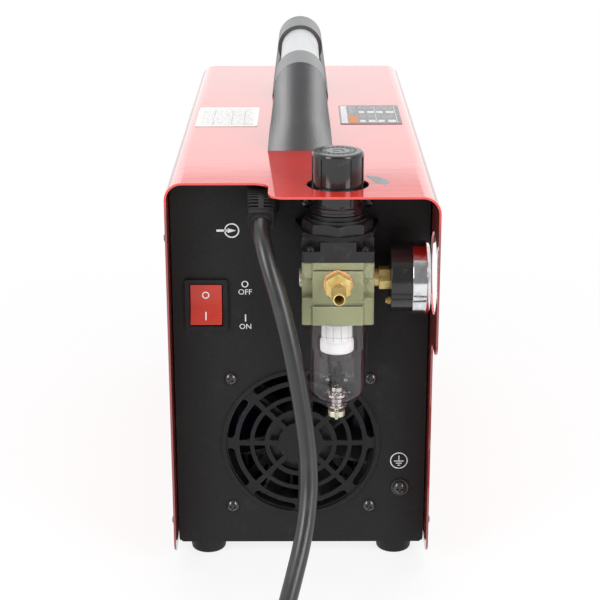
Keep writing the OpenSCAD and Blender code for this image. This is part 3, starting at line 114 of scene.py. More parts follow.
# COIL_LAYER is the number of turns in each of the coil's two layers
CORD_D = 10.0
FLOOR_Z = -3.2
COIL_MID_D = 110.0
COIL_PITCH = CORD_D + 0.6
COIL_LAYER = 2
COIL_STEPS = 24
TAIL_L = 44.0
PLUG_Z = 9.5
LEAD_DROP = [
    (-21.5, -30.354, 211.71), (-21.5, -36.907, 207.12), (-19.7, -43.8, 199.6),
    (-16.2, -50, 188.5), (-11.6, -55, 174), (-7.3, -59, 157), (-3.4, -62.3, 138.5),
    (0, -65, 119.5), (2.8, -68, 100.5), (4.4, -72.3, 81.5), (3.8, -79, 63),
    (0.8, -88.5, 45.5), (-3.8, -100.5, 30), (-8.3, -113.5, 17.5), (-11.5, -126, 8),
    (-13.2, -137.5, 1.8), (-13.8, -148, -1.8), (-14, -158, FLOOR_Z), (-14, -168, FLOOR_Z),
]


def lead_route():
    """The lead from its boot to its plug: the drop, the coil and the tail."""
    in_x, in_y = LEAD_DROP[-1][0], LEAD_DROP[-1][1]
    start_r = COIL_MID_D / 2 + COIL_LAYER * COIL_PITCH / 2
    mid_x, mid_y = in_x + start_r, in_y - CORD_D
    points = list(LEAD_DROP)
    for step in range(2 * COIL_LAYER * COIL_STEPS + 1):
        turn = step / COIL_STEPS
        r = start_r - COIL_PITCH * (turn if turn < COIL_LAYER else 2 * COIL_LAYER - turn)
        climb = min(1, max(0, 2 * (turn - COIL_LAYER) + 0.5))
        points.append((
            mid_x + r * cos(pi + 2 * pi * turn), mid_y + r * sin(pi + 2 * pi * turn),
            FLOOR_Z + COIL_PITCH * climb,
        ))
    top = FLOOR_Z + COIL_PITCH
    tail_y = mid_y - CORD_D
    points += [
        (in_x, tail_y, top), (in_x, tail_y - 10, top),
        (in_x, tail_y - 22, top + 0.3 * (PLUG_Z - top)),
        (in_x, tail_y - TAIL_L + 10, PLUG_Z), (in_x, tail_y - TAIL_L, PLUG_Z),
    ]
    return points


def make_lead():
    curve = bpy.data.curves.new("mains_lead", "CURVE")
    curve.dimensions = "3D"
    curve.bevel_depth = 1.0
    curve.bevel_resolution = 5
    curve.resolution_u = 4
    curve.use_fill_caps = True
    curve.twist_mode = "MINIMUM"
    route = lead_route()
    spline = curve.splines.new("BEZIER")
    spline.bezier_points.add(len(route) - 1)
    for knot, point in zip(spline.bezier_points, route):
        knot.co = spot(*point)
        knot.radius = CORD_D / 2 * MM
        knot.handle_left_type = knot.handle_right_type = "AUTO"
    lead = new_object("mains_lead", curve)
    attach(lead, "power_unit")
    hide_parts("mains_cord", "cord_coil")
    return lead


def declare_lead():
    """Reckons the lead's route and its first point, and keeps neither."""
    steps = [Vector(p) for p in lead_route()]
    spot(*LEAD_DROP[0])


lead = make_lead()


# ---- Node trees ----


def reckoned(operation, swapped=False):
    """A method that puts a Math node between its Link and another value."""
    def method(self, other):
        return self.math(operation, *((other, self) if swapped else (self, other)))
    return method


class Link:
    """A socket of a tree; reckoning with it adds Math nodes."""

    def __init__(self, graph, socket):
        self.graph, self.socket = graph, socket

    def math(self, operation, *values):
        return self.graph.node("ShaderNodeMath", {"operation": operation}, dict(enumerate(values)))

    def __abs__(self):
        return self.math("ABSOLUTE", self)

    __add__ = __radd__ = reckoned("ADD")
    __mul__ = __rmul__ = reckoned("MULTIPLY")
    __sub__, __rsub__ = reckoned("SUBTRACT"), reckoned("SUBTRACT", swapped=True)
    __truediv__, most, least = reckoned("DIVIDE"), reckoned("MAXIMUM"), reckoned("MINIMUM")

    def rise(self, low, high):
        """0 below low and 1 above high, with a soft step between them."""
        return self.graph.node(
            "ShaderNodeMapRange", {"interpolation_type": "SMOOTHSTEP"},
            {"Value": self, "From Min": low, "From Max": high},
        )


class Graph:
    """A node tree that is built from code."""

    def __init__(self, tree):
        self.tree = tree

    def node(self, kind, settings=None, sockets=None, out=0):
        """Adds a node: first its settings, then its sockets' values and links;
        a list gives one socket several links."""
        made = self.tree.nodes.new(kind)
        for key, value in (settings or {}).items():
            setattr(made, key, value)
        for key, value in (sockets or {}).items():
            socket = made.inputs[key]
            if isinstance(value, (Link, list)):
                for link in value if isinstance(value, list) else [value]:
                    self.tree.links.new(link.socket, socket)
            elif isinstance(value, tuple) and len(value) == 3 and socket.type == "RGBA":
                socket.default_value = (*value, 1)
            else:
                socket.default_value = value
        return Link(self, made.outputs[out]) if made.outputs else None

    def rays(self, *kinds):
        """For each kind, 1 on its rays and 0 on others."""
        return [self.node("ShaderNodeLightPath", out=f"Is {kind} Ray") for kind in kinds]


# ---- Light, backdrop and floor ----

WHITE = (1.0, 1.0, 1.0)
MATT_LIGHT = 0.7
BEHIND_DIM = 0.72
AHEAD_GAIN, BAND_DIM = 0.42, 0.55


def set_world():
    """A white surround. In mirrors it is darker behind the camera and brighter
    ahead of it, save for a dim band some way above the horizon."""
    world = with_nodes(bpy.data.worlds.new("studio"))
    bpy.context.scene.world = world
    sky = Graph(world.node_tree)
    camera, through, mirror = sky.rays("Camera", "Transmission", "Glossy")
    towards = sky.node("ShaderNodeTexCoord", out="Generated")
    side, height = (sky.node("ShaderNodeSeparateXYZ", {}, {0: towards}, out=letter)
                    for letter in "YZ")
    behind = 1 - side.rise(-0.75, 0.15)
    ahead = side.rise(0.55, 0.9)
    band = height.rise(0.234, 0.248) * (1 - height.rise(0.4, 0.6))
    seen = camera.most(through)
    glossy = mirror * (1 - BEHIND_DIM * behind + ahead * (AHEAD_GAIN - BAND_DIM * band))
    matt = (1 - seen.most(mirror)) * MATT_LIGHT
    light = sky.node("ShaderNodeBackground", {},
                     {"Color": WHITE, "Strength": seen.most(glossy) + matt})
    sky.node("ShaderNodeOutputWorld", {}, {"Surface": light})


FLOOR_SPAN = 6.0
FLOOR_FADE = (0.28, 0.6)
FLOOR_GLOW = 0.8


def set_floor():
    """A wide pale floor that keeps the shadow and goes white away from it."""
    mesh = bpy.data.meshes.new("studio_floor")
    corners = [(x * FLOOR_SPAN, y * FLOOR_SPAN, 0)
               for x, y in ((-1, -1), (1, -1), (1, 1), (-1, 1))]
    mesh.from_pydata(corners, [], [(0, 1, 2, 3)])
    material = with_nodes(bpy.data.materials.new("studio_floor"))
    mesh.materials.append(material)
    paper = Graph(material.node_tree)
    where = paper.node("ShaderNodeTexCoord", out="Object")
    fibre = paper.node("ShaderNodeTexNoise", {}, {"Vector": where, "Scale": 900.0, "Detail": 2.0})
    matt = paper.node("ShaderNodeBsdfDiffuse", {}, {
        "Color": (0.86, 0.86, 0.86),
        "Normal": paper.node("ShaderNodeBump", {}, {"Height": fibre, "Distance": 0.00002}),
    })
    glow = paper.node("ShaderNodeEmission", {}, {"Color": WHITE, "Strength": 1.0})
    camera, mirror, through = paper.rays("Camera", "Glossy", "Transmission")
    away = paper.node("ShaderNodeVectorMath", {"operation": "LENGTH"}, {0: where}, out="Value")
    plain = camera * (FLOOR_GLOW + (1 - FLOOR_GLOW) * away.rise(*FLOOR_FADE))
    share = plain.most((mirror + through) * FLOOR_GLOW)
    paper.node("ShaderNodeOutputMaterial", {}, {
        "Surface": paper.node("ShaderNodeMixShader", {}, {0: share, 1: matt, 2: glow}),
    })
    new_object("studio_floor", mesh)


def soft_box(name, place, aim, width, height, watts):
    """An area lamp that faces a point of the part."""
    lamp = bpy.data.lights.new(name, "AREA")
    lamp.shape = "RECTANGLE"
    lamp.size, lamp.size_y = width, height
    lamp.energy = watts
    holder = new_object(name, lamp)
    holder.location = place
    holder.rotation_euler = (Vector(aim) - Vector(place)).to_track_quat("-Z", "Y").to_euler()


set_world()
set_floor()
soft_box("key_box", (-1.15, -1.25, 0.95), (0, 0, 0.12), 0.6, 1.0, 15)
soft_box("fill_box", (1.15, -1.25, 0.85), (0, 0, 0.12), 0.6, 1.0, 14)
soft_box("top_box", (0.1, 0.25, 1.5), (0, 0.05, 0.2), 1.2, 1.2, 8)
bpy.context.scene.view_settings.view_transform = "Standard"


# ---- Finishes ----


ARM_TAPER_Z, ARM_TAPER = (231, 252), 0.23
HOOD_RIM_Z = (205, 226)
SLOTS_Z, SLOT_HALF_W = (186.3, 165.8), 13.6


class Finish(Graph):
    """One procedural material, patterned on Object coordinates."""

    made = {}

    def __init__(self, name):
        Finish.made[name] = with_nodes(bpy.data.materials.new(name))
        super().__init__(Finish.made[name].node_tree)
        self.where = self.node("ShaderNodeTexCoord", out="Object")

    def grain(self, size, detail=2.0, harsh=0.5, stretch=None):
        """Noise with patches about size millimetres wide."""
        where = self.where
        if stretch:
            where = self.node("ShaderNodeMapping", {}, {"Vector": where, "Scale": stretch})
        return self.node("ShaderNodeTexNoise", {}, {
            "Vector": where, "Scale": 1000 / size, "Detail": detail, "Roughness": harsh,
        })

    def cells(self, size, feature="F1"):
        return self.node("ShaderNodeTexVoronoi", {"feature": feature},
                         {"Vector": self.where, "Scale": 1000 / size}, out="Distance")

    def axis(self, letter, vector=None):
        return self.node("ShaderNodeSeparateXYZ", {}, {0: vector or self.where}, out=letter)

    def geometry(self, what):
        return self.node("ShaderNodeNewGeometry", out=what)

    def facing(self, blend):
        return self.node("ShaderNodeLayerWeight", {}, {"Blend": blend}, out="Facing")

    def vector(self, operation, *values, out=0):
        return self.node("ShaderNodeVectorMath", {"operation": operation},
                         dict(enumerate(values)), out=out)

    def tone(self, share, first, second):
        """A colour between two others."""
        return self.node("ShaderNodeMix", {"data_type": "RGBA"},
                         {0: share, 6: first, 7: second}, out=2)

    def edge(self, radius):
        """1 where a corner is sharper than radius millimetres."""
        soft = self.node("ShaderNodeBevel", {"samples": 4}, {"Radius": radius * MM})
        along = self.vector("DOT_PRODUCT", soft, self.geometry("Normal"), out="Value")
        return (1 - along).rise(0.02, 0.22)

    def cut_rim(self):
        """1 where a surface faces the rear, as the cut rims of the sheets do."""
        return (0 - self.axis("Y", self.geometry("True Normal"))).rise(0.6, 0.9)

    def relief(self, height, depth, normal=None):
        sockets = {"Height": height, "Distance": depth * MM}
        if normal is not None:
            sockets["Normal"] = normal
        return self.node("ShaderNodeBump", {}, sockets)

    def rounded_arms(self):
        """Normals of the handle's two slopes as rounded bars, and the true ones elsewhere."""
        run = self.axis("Y") - spot(0, HANDLE_MID, 0).y
        low, high = (spot(0, 0, z).z for z in ARM_TAPER_Z)
        half = (1 - self.axis("Z").rise(low, high) * ARM_TAPER) * (ARM_HALF * MM)
        outwards = run.rise(-0.001, 0.001) * 2 - 1
        arched = self.node("ShaderNodeCombineXYZ", {}, {
            "X": self.axis("X") / half * 0.5, "Y": outwards * 0.93, "Z": 0.36,
        })
        arched = self.node("ShaderNodeVectorTransform", {
            "vector_type": "NORMAL", "convert_from": "OBJECT", "convert_to": "WORLD",
        }, {0: self.vector("NORMALIZE", arched)})
        true = self.geometry("Normal")
        slopes = abs(run).rise((COLLAR_END - 0.4) * MM, (COLLAR_END + 0.4) * MM)
        alike = self.vector("DOT_PRODUCT", arched, true, out="Value")
        return self.node("ShaderNodeMix", {"data_type": "VECTOR"},
                         {0: slopes * alike.rise(0.55, 0.75), 4: true, 5: arched}, out=1)

    def surface(self, colour, rough, height, depth, normal=None, **fixed):
        """Closes the material; height times depth millimetres is its relief."""
        names = {
            "metal": "Metallic", "shine": "Specular IOR Level", "coat": "Coat Weight",
            "coat_rough": "Coat Roughness", "coat_index": "Coat IOR",
            "glow": "Emission Color", "glow_strength": "Emission Strength",
        }
        shader = self.node("ShaderNodeBsdfPrincipled", {}, {
            "Base Color": colour, "Roughness": rough, "Normal": self.relief(height, depth, normal),
            **{names[key]: value for key, value in fixed.items()},
        })
        self.node("ShaderNodeOutputMaterial", {}, {"Surface": shader})

    def glazing(self, tint, rim_tint, rough, height, depth, body, inner=0.0, painted_rim_highlight=0.0):
        """Clear plastic: it lets light through, darkens where its wall is seen along itself and
            reflects on its outside; inner is the cavity's radius, and the rim haze greys the
            wall's outline as painted highlight."""
        normal = self.relief(height, depth)
        side = self.facing(0.35)
        clear = self.node("ShaderNodeBsdfTransparent", {}, {
            "Color": self.tone(side.rise(0.25, 0.85), tint, rim_tint),
        })
        shine = self.node("ShaderNodeBsdfGlossy", {},
                          {"Color": WHITE, "Roughness": rough, "Normal": normal})
        haze = self.node("ShaderNodeBsdfDiffuse", {},
                         {"Color": (0.6, 0.57, 0.61), "Normal": normal})
        mirror = self.node("ShaderNodeFresnel", {}, {"IOR": 1.5, "Normal": normal})
        mirror = mirror * (1 - self.geometry("Backfacing"))
        if inner:
            middle = spot(REG_X, REG_Y, 0)
            x, y = self.axis("X") - middle.x, self.axis("Y") - middle.y
            outside = (x * x + y * y).rise((inner * MM) ** 2, ((inner + 0.5) * MM) ** 2)
            mirror = mirror.least(0.07 + 0.48 * outside)
        # the rim share is painted highlight, a lit grey along the wall's outline; the body share
        # is an even faint haze
        cast = self.node("ShaderNodeMixShader", {},
                         {0: body + painted_rim_highlight * side.rise(0.74, 1.0), 1: clear, 2: haze})
        self.node("ShaderNodeOutputMaterial", {}, {
            "Surface": self.node("ShaderNodeMixShader", {}, {0: mirror, 1: cast, 2: shine}),
        })


def finish(recipe):
    """Makes the material that a recipe describes, under the recipe's name."""
    recipe(Finish(recipe.__name__))


@finish
def red_gloss_paint(f):
    """Glossy enamel on sheet, with orange peel and faint waves. Its rims are lightened partly as
    rubbed paint and mostly as painted highlight; its low cut rims and its faces at grazing angles
    are darkened as painted shade.
    """
    clouds, peel, waves = f.grain(70, 3), f.grain(1.6, 1), f.grain(45, 1)
    scuff = f.grain(9, 6, 0.7, (1, 6, 1)).rise(0.62, 0.78)
    rim = f.edge(0.5) * f.grain(2.5, 4).rise(0.3, 0.6)
    paint = f.tone(clouds, (0.62, 0.02, 0.013), (0.7, 0.027, 0.018))
    # pale pink on the rims: partly rubbed paint, mostly painted highlight of the rounded edges
    paint = f.tone(rim * 0.15 + f.edge(0.7) * 0.18, paint, (0.85, 0.42, 0.38))
    # painted shade: the paint darkens towards grazing angles
    paint = f.tone(f.facing(0.5).rise(0.72, 0.92) * 0.75, paint, (0.13, 0.012, 0.01))
    # painted shade: the cut rims that face the rear are darkened below the hood
    low, high = (spot(0, 0, z).z for z in HOOD_RIM_Z)
    painted_low_rim_shade = (1 - f.axis("Z").rise(low, high)) * f.cut_rim()
    paint = f.tone(painted_low_rim_shade * 0.8, paint, (0.14, 0.03, 0.028))
    lip = 1 - f.axis("Y").rise(-0.13, -0.085)
    ripple = f.grain(13, 2, 0.5, (0.45, 1.3, 1)) * lip
    height = peel * 0.25 + waves + ripple * 7
    f.surface(paint, 0.3 + scuff * 0.12 + clouds * 0.05, height, 0.1,
              coat=1.0, coat_rough=0.035, coat_index=1.85, shine=0.12)


@finish
def black_powder_coat(f):
    """Baked black powder: a fine tight texture that breaks up the gloss."""
    pebbles, specks, clouds = f.cells(0.9), f.grain(0.7, 3, 0.6), f.grain(60, 3)
    rub = f.edge(0.4) * f.grain(1.5, 4).rise(0.45, 0.65)
    dust = f.grain(14, 5, 0.65).rise(0.55, 0.8)
    tone = f.tone(specks.rise(0.45, 0.75), (0.007, 0.007, 0.0074), (0.017, 0.017, 0.018))
    tone = f.tone(dust * 0.25, tone, (0.05, 0.05, 0.048))
    tone = f.tone(rub * 0.35, tone, (0.22, 0.22, 0.22))
    f.surface(tone, 0.52 + clouds * 0.1 + dust * 0.1, pebbles * 0.6 + specks * 0.5, 0.09,
              shine=0.3)


@finish
def zinc_sheet(f):
    """Galvanised sheet with its spangle and rolling marks."""
    spangle, rolled = f.cells(7), f.grain(0.6, 2, 0.5, (1, 0.04, 1))
    stain = f.grain(30, 4).rise(0.5, 0.75)
    tone = f.tone(spangle.rise(0, 0.004), (0.46, 0.47, 0.48), (0.62, 0.63, 0.64))
    tone = f.tone(stain * 0.3, tone, (0.4, 0.39, 0.37))
    f.surface(tone, 0.34 + spangle * 20 + stain * 0.1, rolled, 0.01, metal=1.0)


@finish
def black_rubber(f):
    """Black PVC and rubber: soft sheen, fine skin and a little bloom."""
    skin, bloom, drawn = f.grain(0.5, 3), f.grain(22, 4).rise(0.45, 0.75), f.grain(3.5, 2)
    tone = f.tone(bloom * 0.6, (0.012, 0.012, 0.0125), (0.032, 0.032, 0.03))
    f.surface(tone, 0.31 + bloom * 0.08 + skin * 0.05, skin * 0.4 + drawn * 0.4, 0.03,
              shine=0.75)


@finish
def zinc_screw(f):
    """Bright zinc plate, a little yellowed, with turning marks."""
    cloud, fine = f.grain(2.5, 3), f.grain(0.25, 2)
    rim = f.edge(0.3)
    tone = f.tone(cloud, (0.66, 0.65, 0.6), (0.8, 0.8, 0.78))
    tone = f.tone(rim * 0.5, tone, (0.9, 0.9, 0.9))
    f.surface(tone, 0.24 + cloud * 0.14, fine, 0.008, metal=1.0)


@finish
def black_screw(f):
    """Black plated steel, glossy, worn to bright metal at the recess."""
    cloud, fine = f.grain(3, 3), f.grain(0.3, 2)
    rim = f.edge(0.25) * f.grain(0.8, 3).rise(0.5, 0.7)
    tone = f.tone(cloud, (0.01, 0.01, 0.0105), (0.017, 0.017, 0.018))
    tone = f.tone(rim * 0.12, tone, (0.3, 0.3, 0.31))
    f.surface(tone, 0.2 + cloud * 0.06, fine, 0.003, coat=0.5, coat_rough=0.08, shine=0.6)


@finish
def label_film(f):
    """Printed film, a little wavy, with dust at its edges."""
    wave, fibre, soil = f.grain(9, 1), f.grain(0.4, 2), f.grain(16, 5).rise(0.5, 0.8)
    tone = f.tone(soil * 0.3, (0.84, 0.84, 0.82), (0.7, 0.69, 0.66))
    f.surface(tone, 0.3 + soil * 0.15 + fibre * 0.04, wave, 0.03, coat=0.3, coat_rough=0.15)


def moulding(name, dark, light, rough, grit, depth, arms=False, **fixed):
    """Moulded plastic: eroded grain, flow clouds and shiny rubbed corners."""
    f = Finish(name)
    grit_map, clouds = f.cells(grit), f.grain(18, 3)
    rub = f.edge(0.5) * f.grain(2, 4).rise(0.3, 0.7)
    dust = f.grain(6, 5, 0.65).rise(0.55, 0.8)
    tone = f.tone(clouds, dark, light)
    tone = f.tone(dust * 0.14 + rub * 0.1, tone, (0.16, 0.16, 0.155))
    rough = rough + clouds * 0.08 + dust * 0.08 - rub * 0.1
    normal = f.rounded_arms() if arms else None
    f.surface(tone, rough, grit_map, depth, normal, **fixed)


@finish
def grip_tube(f):
    """Satin plated tube, drawn lengthwise, with faint handling marks."""
    drawn = f.grain(0.5, 3, 0.6, (1, 0.03, 1))
    hand = f.grain(20, 4).rise(0.5, 0.75)
    tone = f.tone(drawn, (0.52, 0.53, 0.545), (0.6, 0.605, 0.615))
    tone = f.tone(hand * 0.3, tone, (0.46, 0.465, 0.475))
    f.surface(tone, 0.34 + drawn * 0.1 + hand * 0.1, drawn, 0.012, metal=0.35)


@finish
def rocker_red(f):
    """Translucent red rocker with a polished face and hairline scratches."""
    cloud, hair = f.grain(10, 2), f.grain(0.6, 3, 0.6, (0.1, 1, 1)).rise(0.6, 0.75)
    tone = f.tone(cloud, (0.4, 0.026, 0.015), (0.48, 0.042, 0.025))
    tone = f.tone(f.edge(0.6) * 0.25, tone, (0.7, 0.18, 0.13))
    f.surface(tone, 0.26 + hair * 0.2, hair, 0.01, coat=0.15, coat_rough=0.12, shine=0.35)


def turned(name, dark, light, rough, size=0.35, metal=1.0):
    """Turned metal with fine rings, tarnish clouds and bright corners."""
    f = Finish(name)
    rings = f.grain(size)
    stain = f.grain(5, 5, 0.6)
    tone = f.tone(stain.rise(0.3, 0.75), light, dark)
    tone = f.tone(f.edge(0.3) * 0.5, tone, tuple(min(1.0, c * 1.3) for c in light))
    f.surface(tone, rough + stain.rise(0.3, 0.8) * 0.16, rings, 0.01, metal=metal)


@finish
def olive_casting(f):
    """Die casting in olive-gold metallic paint, with a fine orange peel."""
    flake, peel, cloud = f.cells(0.35), f.grain(0.8, 2), f.grain(14, 4)
    chip = f.edge(0.6) * f.grain(1.4, 4).rise(0.5, 0.68)
    tone = f.tone(cloud, (0.8, 0.86, 0.43), (0.88, 0.93, 0.5))
    tone = f.tone(flake.rise(0, 0.0006) * 0.3, (0.7, 0.73, 0.42), tone)
    # pale edges: chipped paint, and a painted highlight along every edge
    tone = f.tone(f.edge(0.5) * 0.35 + chip * 0.3, tone, (0.78, 0.8, 0.6))
    # two fine slots across the rear face, above and below the hose barb, painted in: a dark line
    # of painted shade for each slot and a line of painted highlight on the lip below it
    aside = abs(f.axis("X") - spot(REG_X, 0, 0).x)
    face = f.cut_rim() * (1 - aside.rise((SLOT_HALF_W - 0.2) * MM, (SLOT_HALF_W + 0.2) * MM))
    painted_slot_shade = lip = 0
    for z in SLOTS_Z:
        above = f.axis("Z") - spot(0, 0, z).z
        painted_slot_shade = painted_slot_shade + face * (1 - abs(above).rise(0.35 * MM, 0.6 * MM))
        lip = lip + face * (1 - abs(above + 0.85 * MM).rise(0.15 * MM, 0.4 * MM))
    # painted shade in each slot
    tone = f.tone(painted_slot_shade * 0.85, tone, (0.04, 0.04, 0.02))
    # painted highlight on the lip under each slot
    tone = f.tone(lip * 0.7, tone, (0.92, 0.93, 0.78))
    f.surface(tone, 0.36 + cloud * 0.1 + peel * 0.06, peel + flake * 200, 0.02,
              metal=0.05, coat=0.35, coat_rough=0.18)


@finish
def filter_white(f):
    """Sintered and moulded white plastic, a little dusty, with a faint painted glow."""
    beads, dust = f.cells(0.45), f.grain(5, 4).rise(0.4, 0.8)
    tone = f.tone(dust * 0.2, (0.92, 0.92, 0.91), (0.8, 0.79, 0.76))
    # the faint emission is painted light: the filter is no lamp
    f.surface(tone, 0.42 + dust * 0.15, beads, 0.04, glow=tone, glow_strength=0.05)


@finish
def clear_bowl(f):
    flow, scratch = f.grain(11, 2), f.grain(0.6, 4, 0.7, (1, 1, 0.2)).rise(0.6, 0.8)
    f.glazing((0.975, 0.975, 0.98), (0.6, 0.54, 0.6), 0.06 + scratch * 0.1,
              flow + scratch * 0.1, 0.12, 0.01, inner=14.75, painted_rim_highlight=0.45)


@finish
def gauge_glass(f):
    flow = f.grain(16, 2)
    f.glazing((0.97, 0.98, 0.98), (0.8, 0.85, 0.84), 0.02 + flow * 0.03, flow, 0.05, 0.005)


@finish
def dial_white(f):
    fibre, aged = f.grain(0.5, 2), f.grain(12, 4).rise(0.4, 0.8)
    tone = f.tone(aged * 0.3, (0.86, 0.86, 0.84), (0.78, 0.76, 0.7))
    f.surface(tone, 0.45 + fibre * 0.06, fibre, 0.01)


@finish
def lamp_lens(f):
    """Amber lens with a moulded ripple and a dim glow inside."""
    ripple, cloud = f.cells(1.1), f.grain(3, 2)
    tone = f.tone(cloud, (0.6, 0.17, 0.02), (0.75, 0.28, 0.05))
    f.surface(tone, 0.14 + cloud * 0.08, ripple, 0.08, coat=0.8, coat_rough=0.05,
              glow=tone, glow_strength=0.15)


@finish
def board_green(f):
    """Circuit board: tracks under solder resist, with tinned pads."""
    weave, tracks = f.grain(0.7, 2), f.cells(4.5, "DISTANCE_TO_EDGE")
    pads = f.cells(5).rise(0.0005, 0.0008)
    tone = f.tone(tracks.rise(0.0002, 0.0006), (0.03, 0.16, 0.06), (0.015, 0.09, 0.035))
    tone = f.tone(pads, (0.7, 0.7, 0.68), tone)
    f.surface(tone, 0.32 + weave * 0.12, tracks * 300 + weave * 0.2, 0.03, coat=0.3)


@finish
def heatsink(f):
    """Extruded aluminium with lengthwise die lines."""
    lines, cloud = f.grain(0.5, 3, 0.6, (1, 0.02, 1)), f.grain(18, 3)
    tone = f.tone(cloud, (0.6, 0.61, 0.62), (0.74, 0.745, 0.75))
    f.surface(tone, 0.3 + lines * 0.12, lines, 0.015, metal=1.0)


@finish
def ferrite(f):
    """Pressed ferrite and taped winding: matt, pitted, chipped corners."""
    pits, cloud = f.grain(0.6, 4, 0.7), f.grain(9, 3)
    chip = f.edge(1.0) * f.grain(1.6, 4).rise(0.5, 0.65)
    tone = f.tone(cloud, (0.03, 0.03, 0.032), (0.055, 0.055, 0.058))
    tone = f.tone(chip * 0.6, tone, (0.12, 0.12, 0.125))
    f.surface(tone, 0.6 + pits * 0.2, pits, 0.06, shine=0.4)


@finish
def copper_winding(f):
    """Enamelled wire laid side by side round the ring core."""
    wires = f.node("ShaderNodeTexWave", {"wave_type": "BANDS", "bands_direction": "DIAGONAL"},
                   {"Vector": f.where, "Scale": 34.0, "Distortion": 0.6}, out=1)
    cloud = f.grain(6, 3)
    tone = f.tone(wires * 0.6 + cloud * 0.4, (0.2, 0.06, 0.02), (0.62, 0.27, 0.11))
    f.surface(tone, 0.26 + cloud * 0.14, wires, 0.3, metal=0.8, coat=0.5)


@finish
def capacitor_sleeve(f):
    """Shrink sleeve in dark blue with a pale polarity stripe."""
    wrinkle, cloud = f.grain(4, 3), f.grain(12, 2)
    along = f.axis("Y") * 1000 / 42
    stripe = abs(along.math("FRACT", along) - 0.5).rise(0.05, 0.06)
    tone = f.tone(stripe, (0.5, 0.52, 0.56), (0.016, 0.022, 0.085))
    f.surface(tone, 0.28 + cloud * 0.14, wrinkle, 0.06, coat=0.4)


@finish
def air_hose(f):
    """Blue polyurethane hose with extrusion lines."""
    lines, cloud = f.grain(0.7, 2, 0.5, (1, 0.05, 1)), f.grain(10, 3)
    tone = f.tone(cloud, (0.02, 0.06, 0.3), (0.035, 0.09, 0.4))
    f.surface(tone, 0.3 + cloud * 0.12, lines, 0.02, coat=0.3)


def print_ink(name, colour, rough=0.45):
    """Screen-printed ink, a little broken at its edges."""
    f = Finish(name)
    mesh_marks, fade = f.cells(0.3), f.grain(2.2, 4).rise(0.35, 0.75)
    worn = tuple(c * 0.8 for c in colour)
    f.surface(f.tone(fade, worn, colour), rough + fade * 0.08, mesh_marks, 0.02)


def make_finishes():
    moulding("black_moulding", (0.008, 0.008, 0.0083), (0.014, 0.014, 0.0145), 0.3, 0.55, 0.03,
             shine=0.42)
    moulding("handle_moulding", (0.033, 0.036, 0.039), (0.045, 0.049, 0.053), 0.3, 0.8, 0.05,
             arms=True, shine=1.1)
    moulding("knob_moulding", (0.007, 0.007, 0.0075), (0.012, 0.012, 0.0125), 0.18, 0.5, 0.012,
             shine=0.45, coat=0.35, coat_rough=0.08)
    moulding("dull_rubber", (0.008, 0.008, 0.0083), (0.015, 0.015, 0.0155), 0.5, 0.6, 0.02,
             shine=0.25)
    moulding("switch_black", (0.008, 0.008, 0.0085), (0.013, 0.013, 0.0135), 0.4, 0.6, 0.02,
             shine=0.25)
    moulding("smoked_disc", (0.03, 0.026, 0.022), (0.055, 0.048, 0.042), 0.22, 2.0, 0.02)
    turned("brass", (0.6, 0.42, 0.12), (0.86, 0.68, 0.3), 0.26, metal=0.6)
    turned("pale_brass", (0.55, 0.5, 0.38), (0.8, 0.76, 0.62), 0.2, metal=0.7)
    turned("nickel", (0.55, 0.52, 0.46), (0.76, 0.73, 0.68), 0.18)
    turned("chrome_bezel", (0.6, 0.61, 0.63), (0.82, 0.83, 0.84), 0.05, 0.8)
    turned("sealant", (0.58, 0.28, 0.1), (0.72, 0.4, 0.18), 0.4, 1.2, 0.0)
    print_ink("white_ink", (0.78, 0.79, 0.8))
    print_ink("black_ink", (0.02, 0.02, 0.022))
    print_ink("grey_ink", (0.3, 0.31, 0.32))
    print_ink("faint_ink", (0.62, 0.63, 0.63))
    print_ink("orange_ink", (0.72, 0.26, 0.08))
    print_ink("segment_red", (0.5, 0.02, 0.015), 0.25)
    print_ink("plate_black", (0.05, 0.051, 0.055), 0.12)
    print_ink("smoked_glass", (0.012, 0.008, 0.01), 0.08)


make_finishes()


# ---- Making pieces ----


def add_piece(name, mesh, finish, body, smooth=35):
    """A mesh in metres becomes a piece that rides on a body."""
    piece = new_object(name, mesh)
    mesh.materials.clear()
    mesh.materials.append(Finish.made[finish])
    if smooth:
        mesh.shade_smooth()
        mesh.set_sharp_from_angle(angle=radians(smooth))
    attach(piece, body)
    return piece


def settled(source):
    """The plain mesh of an object as its modifiers leave it; the object goes."""
    bpy.context.view_layer.update()
    graph = bpy.context.evaluated_depsgraph_get()
    mesh = bpy.data.meshes.new_from_object(source.evaluated_get(graph))
    bpy.data.objects.remove(source)
    return mesh


def welded(node):
    """A copy of a CAD node's loose triangles, merged into whole faces."""
    shape = bmesh.new()
    shape.from_mesh(NODES[node].data)
    bmesh.ops.remove_doubles(shape, verts=shape.verts, dist=2e-6)
    bmesh.ops.dissolve_limit(shape, angle_limit=radians(0.6), verts=shape.verts,
                             edges=shape.edges)
    return shape


def eased(node, width, segments=2):
    """The CAD node's own shape with its corners eased by width millimetres."""
    mesh = mesh_of(node + "_eased", welded(node))
    mesh.materials.clear()
    draft = new_object(node + "_draft", mesh)
    ease = draft.modifiers.new("ease", "BEVEL")
    ease.width = width * MM
    ease.segments = segments
    ease.limit_method = "ANGLE"
    ease.angle_limit = radians(30)
    flat = draft.modifiers.new("flat", "WEIGHTED_NORMAL")
    flat.keep_sharp = True
    mesh.shade_smooth()
    piece = add_piece(node + "_eased", settled(draft), FINISH_OF.get(node, SLOT_OF[node]),
                      BODY_OF[node], smooth=0)
    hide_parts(node)


def rounded_outline(half_w, half_h, r):
    """Corner points of a rectangle with round corners, in order."""
    return [
        (sx * (half_w - r) + r * cos(a), sy * (half_h - r) + r * sin(a))
        for sx, sy, first in ((1, 1, 0), (-1, 1, 90), (-1, -1, 180), (1, -1, 270))
        for a in (radians(first + k * 22.5) for k in range(5))
    ]


